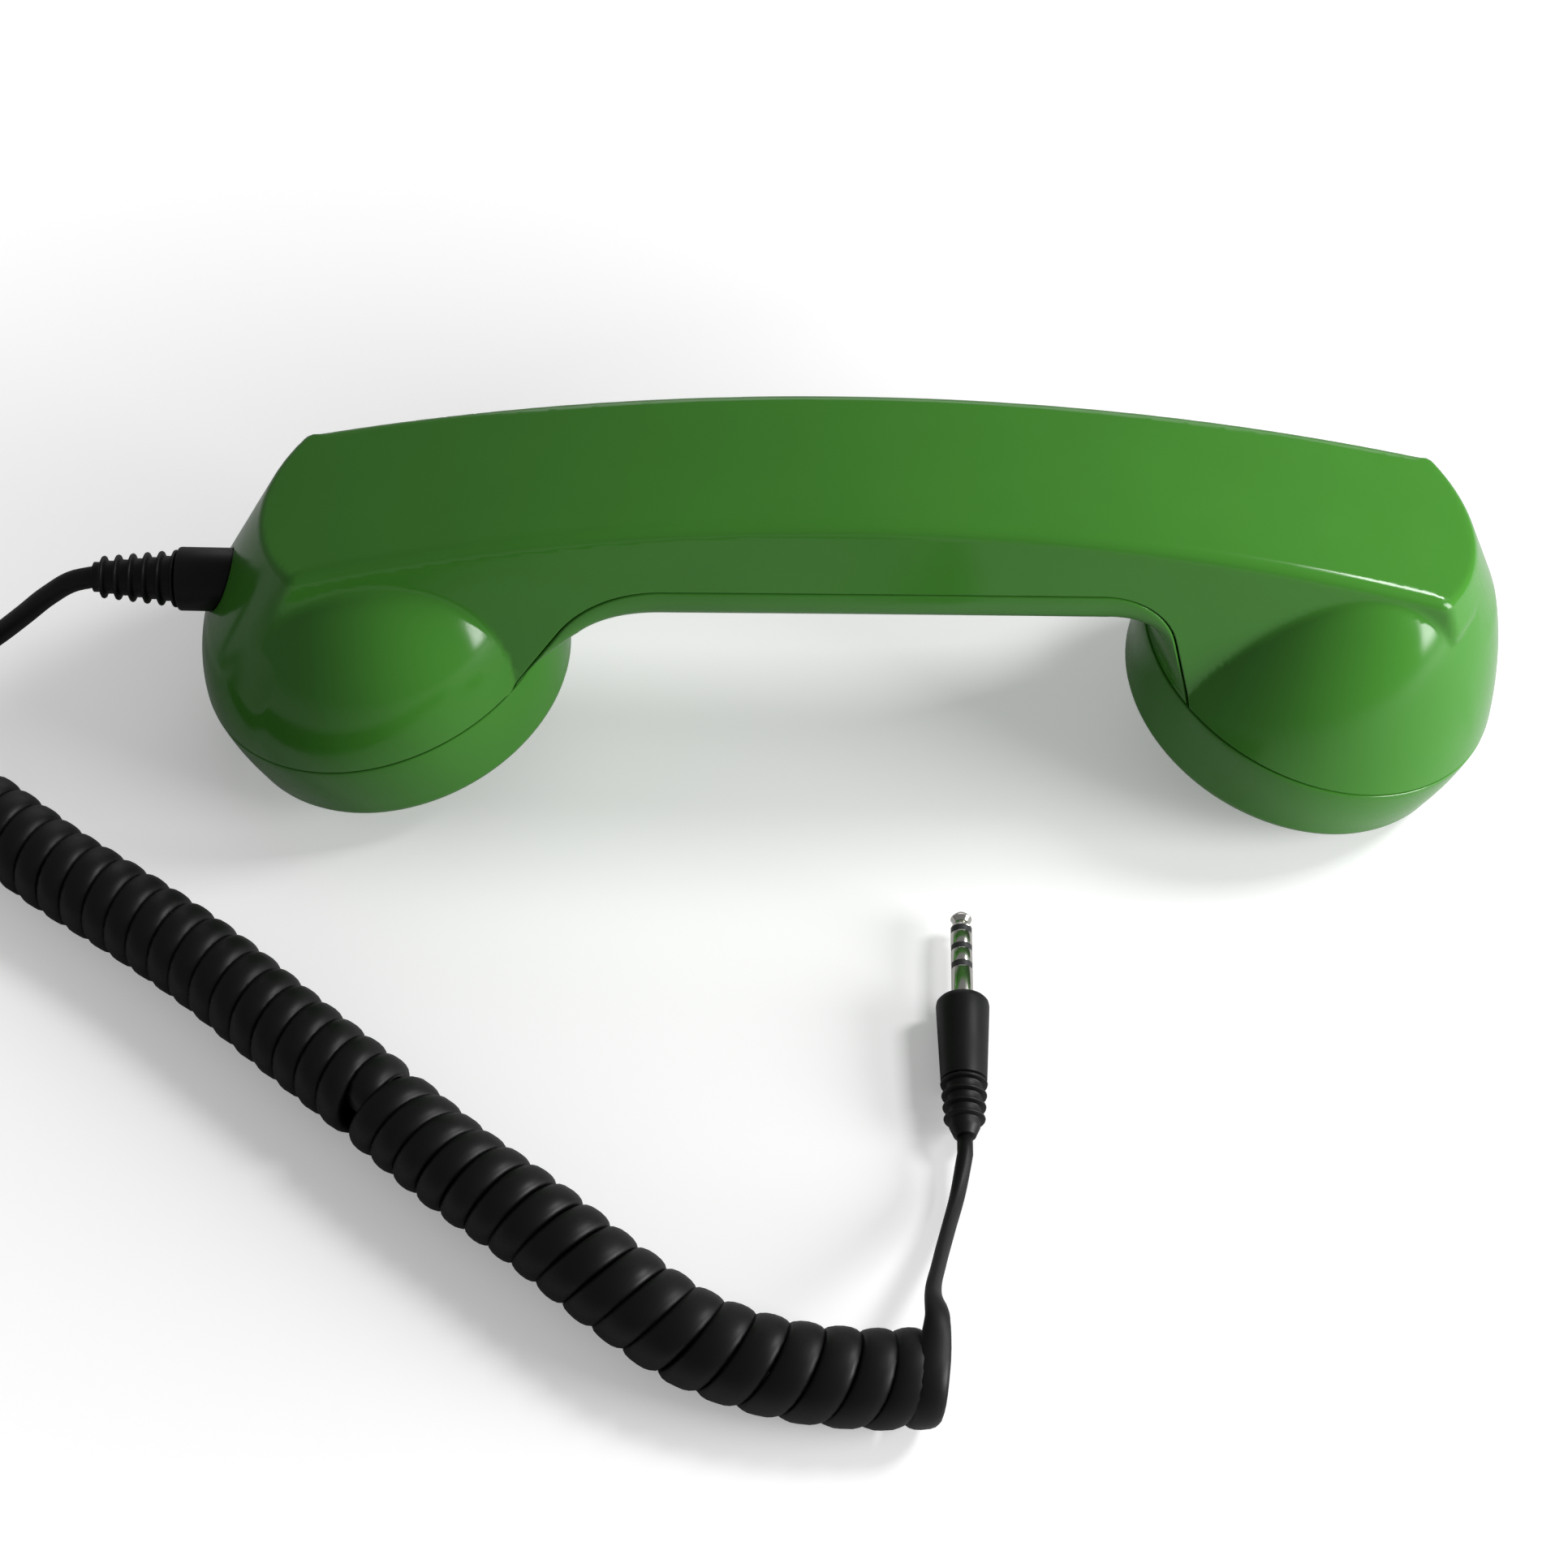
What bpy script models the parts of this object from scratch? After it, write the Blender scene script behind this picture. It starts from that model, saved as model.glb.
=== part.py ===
"""Corded telephone handset: green shell, curly cord and a 3.5 mm plug.

The handset lies on its two caps. +X runs from the mouth cup to the ear cup, +Z is up, and the
origin is on the table, half way between the cups. All lengths are in metres.
"""
import math

import bmesh
import bpy
import numpy as np
from mathutils import Vector

MOUTH, EAR = -1, 1
SIDES = (MOUTH, EAR)
CUP_NAMES = {MOUTH: "mouth", EAR: "ear"}

# ---- general fits
GAP = 0.0003            # clearance between pieces that touch on the real handset
HAIR = 0.00003          # keeps two cut faces from lying in one plane
WALL = 0.0025           # wall of the moulded shell

# ---- cups: each stands on its own axis, which leans outward going up
CUP_SPACING = 0.1582    # between the centres of the two seams
CUP_TILT = math.radians(14.3)
SEAM_RADIUS = 0.0312    # where the cap meets the cup
BULB_LEAN = {MOUTH: 0.0, EAR: 0.27}               # slope of the wall inward at the seam
BULB_ROUNDING = {MOUTH: 0.0307, EAR: 0.0658}      # where a wall without that slope would close
BULB_SHIFT = {MOUTH: 0.21, EAR: 0.03}             # the centres move this fast toward the grip
SEAM_WALL = 0.0030
CUP_FACETS = 32
CUP_ROWS = 7
HOLLOW_FACETS = 16      # the unseen inside of the bulbs is plainer
HOLLOW_ROWS = 5
ROUND_FACETS = 24       # turned pieces inside the cups
SMALL_FACETS = 12       # pins, ribs and posts

# ---- top face: an arch along the handset, with a filleted rim
TOP_HEIGHT = 0.04306    # from the seams' centres to the highest point
TOP_CENTRE_X = 0.0023   # the arch is a little nearer the ear cup
ARCH_REACH = 0.0927
ARCH_DROP = 0.0137      # how far the arch has fallen at ARCH_REACH
TOP_HALF_WIDTH = 0.0146
TOP_FLARE = 0.0017      # extra half width at ARCH_REACH
SIDE_DRAFT = 0.09       # the sides widen by this much per unit of depth
TOP_FILLET = 0.0023
FILLET_STEPS = 2
ARC_STEPS = 5           # of the block's plan, at each end
SIDE_STEPS = 10

# ---- end walls: from a shallow arc at the top, down to a knee on the bulb
END_TOP_REACH = {MOUTH: 0.0163, EAR: 0.0209}      # beyond the cups' centres
END_TOP_RADIUS = 0.0268
KNEE_HEIGHT = {MOUTH: 0.0059, EAR: 0.0149}        # above the seams' centres
KNEE_RADIUS = {MOUTH: 0.0304, EAR: 0.0262}
BLOCK_FOOT = 0.0029     # above the seams' centres; the block ends here, inside the bulbs
FOOT_INSET = 0.0077     # of the block's foot inside the seam
TRIM_STEPS = 12
TRIM_SPREAD = 0.0120    # how far the cutting body stands off the bulb below the knee

# ---- parting line between shell and inner cover, seen from the side
PARTING_INSET = {MOUTH: 0.0070, EAR: 0.0075}      # of its foot from the seam's nearest point
INNER_WALL_LEAN = {MOUTH: math.radians(32.5), EAR: math.radians(14.6)}
INNER_WALL_FILLET = {MOUTH: 0.0200, EAR: 0.0125}
EDGE_HEIGHT = 0.01445   # of the side face at x = 0, from the arch down to its lower edge
EDGE_RISE = 0.0165      # slope of that edge toward the ear

# ---- inner cover
CROWN_DEPTH = 0.0099    # how far the underside of the grip bulges below the edge
CROWN_POWER = 3.0
COVER_WALL = 0.0022
COVER_LAND = 0.0030     # width of its rim under the shell
TAB_WIDTH = 0.0100
TAB_THICKNESS = 0.0020

# ---- neck that carries the cap, and the ledge inside it
NECK_WALL = 0.0023
NECK_LENGTH = 0.0080
LEDGE_WIDTH = 0.0050
LEDGE_THICKNESS = 0.0025
LEDGE_RISE = 0.0002     # underside of the ledge above the seam plane

# ---- screw caps
CAP_DEPTH = 0.0149
CAP_TAPER = 0.0013      # the side draws in by this much down to the corner
CAP_WALL = 0.0012       # around the bore, at that corner
CAP_CORNER = 0.0030
CAP_RIM_WIDTH = 0.0024  # flat rim that surrounds the sunken face
CAP_FACE_DROP = 0.0010
CAP_FACE_WALL = 0.0020
CAP_BORE_CLEARANCE = 0.0004
CAP_BORE_DEPTH = 0.0095
SOUND_HOLE_RADIUS = 0.0012
SOUND_RINGS = {MOUTH: ((0.0060, 6),), EAR: ((0.0060, 6), (0.0115, 8))}
FELT_CLEARANCE = 0.0020 # between the felt and the neck
FELT_THICKNESS = 0.0008

# ---- carrier plates and their screws
CARRIER_THICKNESS = 0.0020
SCREW_INSET = 0.0026    # of the screws' axes inside the neck's bore
SCREW_RADIUS = 0.0012
SCREW_LENGTH = 0.0070
SCREW_HEAD_RADIUS = 0.0022
SCREW_HEAD_HEIGHT = 0.0013
SCREW_COUNT = 3

# ---- earpiece
BASKET_RADIUS = 0.0156
SPEAKER_RADIUS = 0.0185
SPEAKER_FLANGE = 0.0022
BASKET_HEIGHT = 0.0085  # from the flange to the back plate
MAGNET_RADIUS = 0.0095
MAGNET_THICKNESS = 0.0045
CONE_THICKNESS = 0.0006
CONE_RISE = 0.0032
GASKET_THICKNESS = 0.0023
GASKET_BORE = 0.0135

# ---- mouthpiece
CAPSULE_RADIUS = 0.0049
CAPSULE_LENGTH = 0.0045
HOLDER_WALL = 0.0021
HOLDER_LIP = 0.0015
HOLDER_FLANGE = 0.0018

# ---- answer button, circuit board and ballast in the grip
BUTTON_X = 0.0
BUTTON_RADIUS = 0.0055
BUTTON_PROUD = 0.0006
BUTTON_FLANGE = 0.0015
BUTTON_FLANGE_THICKNESS = 0.0012
BUTTON_STEM = 0.0006
BUTTON_FREE_PLAY = 0.0003
BUTTON_TRAVEL = 0.0005
BOARD_LENGTH = 0.0340
BOARD_WIDTH = 0.0180
BOARD_THICKNESS = 0.0016
BOARD_SCREW_SPACING = 0.0260
BOARD_BOSS_RADIUS = 0.0026
BOARD_SCREW_LENGTH = 0.0060
SWITCH_SIZE = 0.0060
SWITCH_HEIGHT = 0.0035
PLUNGER_RADIUS = 0.0017
PLUNGER_LENGTH = 0.0010
BALLAST_LENGTH = 0.0560
BALLAST_WIDTH = 0.0140
BALLAST_THICKNESS = 0.0045
BALLAST_ROOM = 0.0005   # between it and the heads of the board's screws
BALLAST_SCREW_SPACING = 0.0400
BALLAST_POST_RADIUS = 0.0030
BALLAST_SCREW_LENGTH = 0.0072

# ---- strain relief in the mouth end wall
RELIEF_HEIGHT = 0.01076 # of its axis above the seams' centres
RELIEF_COLLAR_RADIUS = 0.0053
RELIEF_COLLAR_END_X = -0.1112
RELIEF_END_X = -0.1255
RELIEF_SHANK_RADIUS = 0.0042
RELIEF_FLANGE_RADIUS = 0.0049
RELIEF_FLANGE_THICKNESS = 0.0015
RELIEF_RIBS = 6
RELIEF_RIB_RADIUS = (0.0047, 0.0034)
RELIEF_GROOVE_DEPTH = 0.0008

# ---- 3.5 mm plug, lying on the table beside the handset
PLUG_X = 0.0192
PLUG_HEIGHT = 0.0044
PLUG_FRONT_Y = -0.0620
PLUG_FRONT_RADIUS = 0.0043
PLUG_BACK_RADIUS = 0.0037
PLUG_BODY_LENGTH = 0.0150
PLUG_RIBS = 4
PLUG_RIB_PITCH = 0.0021
PLUG_RIB_RADIUS = (0.0037, 0.0032)
PLUG_GROOVE_DEPTH = 0.0007
PLUG_TAIL = 0.0016
PIN_RADIUS = 0.00175
PIN_SEAT = 0.0015       # how deep the sleeve sits in the body
PIN_CORE_RADIUS = 0.0008
PIN_CORE_SEAT = 0.0060  # how deep the core sits in the body
PIN_SLEEVE_LENGTH = 0.0071
PIN_RING_LENGTH = 0.0022
PIN_INSULATOR = 0.0006
PIN_TIP_LENGTH = 0.0032
PIN_TIP_BORE = 0.0011
PIN_TIP_WAIST = (0.0011, 0.00126)       # place along the tip and radius
PIN_TIP_SHOULDER = 0.0019
PIN_TIP_END_RADIUS = 0.0006

# ---- cords
LEAD_RADIUS = 0.0016
LEAD_SPACING = 0.0080   # between the points of its centre line
PLUG_LEAD_RADIUS = 0.0013
PLUG_LEAD_SPACING = 0.0065
CURL_OUTER_RADIUS = 0.0073
STRIP_WIDTH = 0.0041
STRIP_THICKNESS = 0.0024
CURLS_BEFORE = 24       # curls of one hand, from the handset
CURLS_AFTER = 18.5      # curls of the other hand, to the plug
POINTS_PER_CURL = 8
CABLE_RADIUS = 0.0015
CABLE_SPACING = 0.0080
WIRE_RADIUS = 0.0008
WIRE_SPACING = 0.0050
RIB_STEPS = ((0.05, 1.0), (0.35, 1.0), (0.45, 0.0), (0.95, 0.0))  # share of a pitch, of the groove

# The lead from the strain relief droops to the table and turns back into the curls.
LEAD_ROUTE = (
    (-0.1339, 0.0000, 0.0270),
    (-0.1391, 0.0000, 0.0218),
    (-0.1442, 0.0000, 0.0168),
    (-0.1502, -0.0002, 0.0117),
    (-0.1558, -0.0022, 0.0098),
    (-0.1598, -0.0062, 0.0114),
)
# Centre line of the curls on the table, from the lead to the plug's side.
CURL_ROUTE = (
    (-0.1665, -0.0172),
    (-0.1530, -0.0250),
    (-0.1396, -0.0342),
    (-0.1287, -0.0423),
    (-0.1154, -0.0509),
    (-0.1027, -0.0598),
    (-0.0868, -0.0729),
    (-0.0732, -0.0839),
    (-0.0582, -0.0965),
    (-0.0465, -0.1050),
    (-0.0315, -0.1170),
    (-0.0219, -0.1235),
    (-0.0106, -0.1277),
    (0.0031, -0.1295),
    (0.0136, -0.1292),
)
# The last lead comes off the top of the curls and runs to the plug.
PLUG_LEAD_ROUTE = (
    (0.0131, -0.1205, 0.0119),
    (0.0139, -0.1132, 0.0080),
    (0.0161, -0.1058, 0.0050),
    (0.0184, -0.0975, 0.0034),
    (0.0192, -0.0920, 0.0038),
)
# Wires inside the handset.
CABLE_ROUTE = (
    (-0.0900, 0.0030, 0.0335),
    (-0.0740, 0.0050, 0.0400),
    (-0.0600, 0.0050, 0.0460),
    (-0.0450, 0.0050, 0.0500),
    (-0.0300, 0.0050, 0.0507),
)
MIC_WIRE_ROUTE = (
    (-0.0800, -0.0040, 0.0330),
    (-0.0690, -0.0060, 0.0400),
    (-0.0560, -0.0060, 0.0460),
    (-0.0430, -0.0060, 0.0500),
    (-0.0280, -0.0050, 0.0508),
)
SPEAKER_WIRE_ROUTE = (
    (0.0280, -0.0050, 0.0510),
    (0.0430, -0.0060, 0.0510),
    (0.0580, -0.0070, 0.0480),
    (0.0700, -0.0080, 0.0420),
)


# ---------------------------------------------------------------- scene helpers
def clear_scene():
    for item in list(bpy.data.objects):
        bpy.data.objects.remove(item, do_unlink=True)


def make_material(name, colour, roughness, metallic=0.0):
    made = bpy.data.materials.new(name)
    made.use_nodes = True
    shader = made.node_tree.nodes["Principled BSDF"]
    shader.inputs["Base Color"].default_value = (*colour, 1.0)
    shader.inputs["Roughness"].default_value = roughness
    shader.inputs["Metallic"].default_value = metallic
    made.diffuse_color = (*colour, 1.0)
    return made


def add_object(name, data, parent=None):
    made = bpy.data.objects.new(name, data)
    bpy.context.scene.collection.objects.link(made)
    made.parent = parent
    return made


def mesh_object(name, points, faces, parent=None):
    data = bpy.data.meshes.new(name)
    data.from_pydata([tuple(p) for p in points], [], faces)
    shape = bmesh.new()
    shape.from_mesh(data)
    bmesh.ops.recalc_face_normals(shape, faces=shape.faces)
    shape.to_mesh(data)
    shape.free()
    return add_object(name, data, parent)


def dress(item, paint, crease=math.radians(35)):
    item.data.materials.clear()
    item.data.materials.append(paint)
    item.data.shade_smooth()
    item.data.set_sharp_from_angle(angle=crease)
    return item


def combine(item, tool, operation):
    """Unite with, or cut by, a second object, which is used up."""
    change = item.modifiers.new("change", "BOOLEAN")
    change.operation = operation
    change.solver = "EXACT"
    change.object = tool
    bpy.context.view_layer.update()
    graph = bpy.context.evaluated_depsgraph_get()
    result = bpy.data.meshes.new_from_object(item.evaluated_get(graph))
    item.modifiers.clear()
    item.data = result
    bpy.data.objects.remove(tool, do_unlink=True)
    return item


def merge_slivers(item, distance=0.000004):
    shape = bmesh.new()
    shape.from_mesh(item.data)
    bmesh.ops.remove_doubles(shape, verts=shape.verts, dist=distance)
    bmesh.ops.dissolve_degenerate(shape, edges=shape.edges, dist=distance)
    shape.to_mesh(item.data)
    shape.free()
    return item


# ---------------------------------------------------------------- shape helpers
def loft(name, rings, fill=True):
    """Skin between closed rings of equally many points, with both ends filled or left open."""
    count = len(rings[0])
    points = [p for ring in rings for p in ring]
    faces = [tuple(range(count)), tuple(range(len(points) - count, len(points)))] if fill else []
    for level in range(len(rings) - 1):
        low = level * count
        for k in range(count):
            step = (k + 1) % count
            faces.append((low + k, low + step, low + count + step, low + count + k))
    return mesh_object(name, points, faces)


def turned(name, outline, facets, parent=None):
    """Turn a closed outline of (radius, height) points around the local Z axis.

    A flat lies at azimuth 0, not a corner, so that a tilted rim rests on an edge.
    """
    points = []
    rows = []
    for radius, height in outline:
        if radius < 1e-7:
            rows.append([len(points)] * facets)
            points.append((0.0, 0.0, height))
            continue
        rows.append(list(range(len(points), len(points) + facets)))
        for k in range(facets):
            angle = math.tau * (k + 0.5) / facets
            points.append((radius * math.cos(angle), radius * math.sin(angle), height))
    faces = []
    for i, row in enumerate(rows):
        after = rows[(i + 1) % len(rows)]
        for k in range(facets):
            step = (k + 1) % facets
            corners = []
            for corner in (row[k], row[step], after[step], after[k]):
                if corner not in corners:
                    corners.append(corner)
            if len(corners) > 2:
                faces.append(tuple(corners))
    return mesh_object(name, points, faces, parent)


def rod(name, radius, bottom, top, facets=16, parent=None):
    return turned(name, ((0, bottom), (radius, bottom), (radius, top), (0, top)), facets, parent)


def box(name, low, high, parent=None):
    corners = (low, high)
    points = [(a[0], b[1], c[2]) for a in corners for b in corners for c in corners]
    faces = [(0, 1, 3, 2), (4, 6, 7, 5), (0, 4, 5, 1), (2, 3, 7, 6), (0, 2, 6, 4), (1, 5, 7, 3)]
    return mesh_object(name, points, faces, parent)


def smooth_curve(route, spacing):
    """Points about one spacing apart on a smooth cubic curve through the route."""
    knots = np.array(route, float)
    marks = np.concatenate(([0.0], np.cumsum(np.linalg.norm(np.diff(knots, axis=0), axis=1))))
    slopes = np.gradient(knots, marks, axis=0)
    dense = [knots[0]]
    for i in range(len(knots) - 1):
        span = marks[i + 1] - marks[i]
        for t in np.linspace(0.0, 1.0, 17)[1:]:
            start = (1 + 2 * t) * (1 - t) ** 2 * knots[i] + t * (1 - t) ** 2 * span * slopes[i]
            finish = t * t * (3 - 2 * t) * knots[i + 1] - t * t * (1 - t) * span * slopes[i + 1]
            dense.append(start + finish)
    dense = np.array(dense)
    run = np.concatenate(([0.0], np.cumsum(np.linalg.norm(np.diff(dense, axis=0), axis=1))))
    steps = max(2, round(run[-1] / spacing))
    places = np.linspace(0.0, run[-1], steps + 1)
    return np.stack([np.interp(places, run, dense[:, k]) for k in range(dense.shape[1])], axis=1)


def cord(name, points, radius, roundness=2):
    data = bpy.data.curves.new(name, "CURVE")
    data.dimensions = "3D"
    data.bevel_depth = radius
    data.bevel_resolution = roundness
    data.use_fill_caps = True
    spline = data.splines.new("POLY")
    spline.points.add(len(points) - 1)
    for slot, place in zip(spline.points, points):
        slot.co = (*place, 1.0)
    return add_object(name, data)


# ---------------------------------------------------------------- geometry of the handset
CAP_SIDE_RADIUS = SEAM_RADIUS - CAP_TAPER
NECK_RADIUS = CAP_SIDE_RADIUS - CAP_WALL - CAP_BORE_CLEARANCE
NECK_BORE = NECK_RADIUS - NECK_WALL
LEDGE_BORE = NECK_BORE - LEDGE_WIDTH
SCREW_CIRCLE = NECK_BORE - SCREW_INSET
FELT_RADIUS = NECK_BORE - FELT_CLEARANCE
FOOT_RADIUS = SEAM_RADIUS - FOOT_INSET


def cap_outer_outline():
    """Cap from its seam, round the lower corner, to the rim of the sunken face."""
    corner_top = CAP_DEPTH - CAP_CORNER
    outline = []
    for share in (0.0, 0.4, 0.75):
        depth = GAP + (corner_top - GAP) * share
        outline.append((SEAM_RADIUS + (CAP_SIDE_RADIUS - SEAM_RADIUS) * share ** 2, -depth))
    centre = CAP_SIDE_RADIUS - CAP_CORNER
    for turn in (math.radians(90), math.radians(64), math.radians(38), CUP_TILT, 0.0):
        outline.append((centre + CAP_CORNER * math.sin(turn), -corner_top - CAP_CORNER * math.cos(turn)))
    return outline


def seam_height():
    """Height of the seam centres when the caps' lowest edges touch the table."""
    flat = math.cos(math.pi / CUP_FACETS)
    return max(
        radius * flat * math.sin(CUP_TILT) - height * math.cos(CUP_TILT)
        for radius, height in cap_outer_outline()
    )


SEAM_HEIGHT = seam_height()


def seam_line(x):
    """Height of the seam planes, which rise toward the middle."""
    return SEAM_HEIGHT + (CUP_SPACING / 2 - abs(x)) * math.tan(CUP_TILT)


def bulb_closing(side, height):
    """Share of the seam circle's squared radius that the bulb has lost at a height above it."""
    return 2 * BULB_LEAN[side] * height / SEAM_RADIUS + (height / BULB_ROUNDING[side]) ** 2


def bulb_apex(side):
    slope = BULB_LEAN[side] / SEAM_RADIUS
    return BULB_ROUNDING[side] ** 2 * (math.sqrt(slope ** 2 + BULB_ROUNDING[side] ** -2) - slope)


def bulb_half_width(side, x, z):
    """Half width of the bulb at a place in the side view, or 0 outside it."""
    inward = CUP_SPACING / 2 - side * x
    up = z - SEAM_HEIGHT
    height = up * math.cos(CUP_TILT) - inward * math.sin(CUP_TILT)
    across = inward * math.cos(CUP_TILT) + up * math.sin(CUP_TILT) - BULB_SHIFT[side] * height
    return math.sqrt(max(0.0, SEAM_RADIUS ** 2 * (1 - bulb_closing(side, height)) - across ** 2))


def arch(x):
    return SEAM_HEIGHT + TOP_HEIGHT - ARCH_DROP * ((x - TOP_CENTRE_X) / ARCH_REACH) ** 2


def half_width(x, z):
    flare = TOP_FLARE * ((x - TOP_CENTRE_X) / ARCH_REACH) ** 2
    return TOP_HALF_WIDTH + flare + SIDE_DRAFT * (arch(x) - z)


def bulb_end(side, z):
    """X of the bulb's outermost point at a height."""
    near, far = CUP_SPACING / 2, CUP_SPACING / 2 + 2 * SEAM_RADIUS
    for _ in range(30):
        middle = (near + far) / 2
        if bulb_half_width(side, side * middle, z) > 0:
            near = middle
        else:
            far = middle
    return side * near


END_TOP_X = {side: side * (CUP_SPACING / 2 + END_TOP_REACH[side]) for side in SIDES}
KNEE_X = {side: bulb_end(side, SEAM_HEIGHT + KNEE_HEIGHT[side]) for side in SIDES}


def end_circle(side, z):
    """Plan circle (centre x, radius) that the end wall follows at a height."""
    top = arch(END_TOP_X[side])
    share = (top - z) / (top - SEAM_HEIGHT - KNEE_HEIGHT[side])
    reach = END_TOP_X[side] + (KNEE_X[side] - END_TOP_X[side]) * share
    radius = END_TOP_RADIUS + (KNEE_RADIUS[side] - END_TOP_RADIUS) * share
    return reach - side * radius, radius


def knee_circle(side, radius):
    return KNEE_X[side] - side * KNEE_RADIUS[side], radius


def knee_line(x):
    share = (x - KNEE_X[MOUTH]) / (KNEE_X[EAR] - KNEE_X[MOUTH])
    return SEAM_HEIGHT + KNEE_HEIGHT[MOUTH] + (KNEE_HEIGHT[EAR] - KNEE_HEIGHT[MOUTH]) * share


def plan_ring(circles, inset, height_at):
    """Ring of the grip block: an arc at each end and two drafted sides."""
    chain = []
    corners = {}
    for side in SIDES:
        centre, full = circles[side]
        radius = full - inset
        x = centre
        for _ in range(12):
            y = half_width(x, height_at(x)) - inset
            x = centre + side * math.sqrt(radius ** 2 - y ** 2)
        corners[side] = (centre, radius, x, math.asin(y / radius))
    centre, radius, left, spread = corners[MOUTH]
    for k in range(ARC_STEPS):
        turn = spread * k / ARC_STEPS
        chain.append((centre - radius * math.cos(turn), radius * math.sin(turn)))
    right = corners[EAR][2]
    for k in range(SIDE_STEPS + 1):
        x = left + (right - left) * k / SIDE_STEPS
        chain.append((x, half_width(x, height_at(x)) - inset))
    centre, radius, _, spread = corners[EAR]
    for k in range(1, ARC_STEPS + 1):
        turn = spread * (1 - k / ARC_STEPS)
        chain.append((centre + radius * math.cos(turn), radius * math.sin(turn)))
    near = [(x, -y, height_at(x)) for x, y in chain]
    far = [(x, y, height_at(x)) for x, y in reversed(chain[1:-1])]
    return near + far


def loft_arched(name, rings):
    """Loft whose end faces are strips across the handset, so that they can arch."""
    made = loft(name, rings, fill=False)
    shape = bmesh.new()
    shape.from_mesh(made.data)
    shape.verts.ensure_lookup_table()
    count = len(rings[0])
    for first in (0, len(rings) * count - count):
        for k in range(count // 2):
            picked = (k, k + 1, (count - k - 1) % count, (count - k) % count)
            shape.faces.new([shape.verts[first + i] for i in dict.fromkeys(picked)])
    bmesh.ops.recalc_face_normals(shape, faces=shape.faces)
    shape.to_mesh(made.data)
    shape.free()
    return made


def grip_block(name, inset, fillet):
    """The arched grip with its end walls, down into the bulbs."""
    rings = []
    for step in range(FILLET_STEPS + 1 if fillet else 1):
        turn = math.pi / 2 * step / FILLET_STEPS
        inward = inset + fillet * (1 - math.sin(turn))
        drop = inset + fillet * (1 - math.cos(turn))
        circles = {side: end_circle(side, arch(END_TOP_X[side]) - drop) for side in SIDES}
        rings.append(plan_ring(circles, inward, lambda x, d=drop: arch(x) - d))
    knees = {side: knee_circle(side, KNEE_RADIUS[side]) for side in SIDES}
    rings.append(plan_ring(knees, inset, knee_line))
    feet = {side: knee_circle(side, FOOT_RADIUS) for side in SIDES}
    foot = SEAM_HEIGHT + BLOCK_FOOT - inset
    rings.append(plan_ring(feet, inset, lambda x: foot))
    return loft_arched(name, rings)


def end_trimmer(side, inset, drop):
    """Solid that a bulb must stay within: under the arch and inside the end wall."""
    top = arch(END_TOP_X[side]) - drop
    knee = SEAM_HEIGHT + KNEE_HEIGHT[side]
    wide = knee_circle(side, KNEE_RADIUS[side] + TRIM_SPREAD)
    levels = (
        (end_circle(side, top), inset, None),
        (knee_circle(side, KNEE_RADIUS[side]), inset, knee),
        (wide, 0.0, knee - WALL),
        (wide, 0.0, -knee),
    )
    rings = []
    for (centre, full), inward, height in levels:
        radius = full - inward
        chain = []
        for k in range(TRIM_STEPS + 1):
            turn = math.pi / 2 * k / TRIM_STEPS
            chain.append((centre + side * radius * math.cos(turn), radius * math.sin(turn)))
        for share in (0.75, 0.5, 0.25):
            chain.append((centre * share, radius))
        chain.append((0.0, 0.0))
        near = [(x, -y) for x, y in chain]
        ring = near + [(x, -y) for x, y in reversed(near[1:-1])]
        rings.append([(x, y, arch(x) - drop if height is None else height) for x, y in ring])
    return loft_arched("trimmer", rings)


def bulb_outline(side, wall, rows):
    """(radius, height) rows of a bulb, or of the hollow that leaves it a wall."""
    apex = bulb_apex(side)
    outline = [(0.0, -WALL), (SEAM_RADIUS - wall, -WALL)]
    for row in range(rows):
        height = apex * math.sin(math.pi / 2 * row / rows) - HAIR
        radius = SEAM_RADIUS * math.sqrt(1 - bulb_closing(side, height))
        closing = 2 * BULB_LEAN[side] / SEAM_RADIUS + 2 * height / BULB_ROUNDING[side] ** 2
        normal = Vector((radius / SEAM_RADIUS, closing * SEAM_RADIUS / 2)).normalized()
        outline.append((radius - wall * normal.x, height - wall * normal.y))
    outline.append((0.0, apex - wall))
    return outline


def bulb(side, wall, inset, drop, frame, facets, rows):
    """Round bulb of a cup, cut by the arch and the end wall."""
    shape = turned("bulb", bulb_outline(side, wall, rows), facets, frame)
    for corner in shape.data.vertices:
        corner.co.x -= side * BULB_SHIFT[side] * max(0.0, corner.co.z)
    return combine(shape, end_trimmer(side, inset, drop), "INTERSECT")


def edge_line(x):
    """Height of the side face's lower edge along the grip."""
    return SEAM_HEIGHT + TOP_HEIGHT - EDGE_HEIGHT + EDGE_RISE * x


def fillet_points(corner, back, ahead, radius, steps):
    """Arc that rounds a corner between two unit directions."""
    inner = math.acos(max(-1.0, min(1.0, back.dot(ahead)))) / 2
    reach = radius / math.tan(inner)
    middle = corner + (back + ahead).normalized() * (radius / math.sin(inner))
    first = corner + back * reach - middle
    last = corner + ahead * reach - middle
    sweep = first.angle(last)
    points = []
    for k in range(steps + 1):
        share = k / steps
        blend = first * math.sin((1 - share) * sweep) + last * math.sin(share * sweep)
        points.append(middle + blend / math.sin(sweep))
    return points


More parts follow.
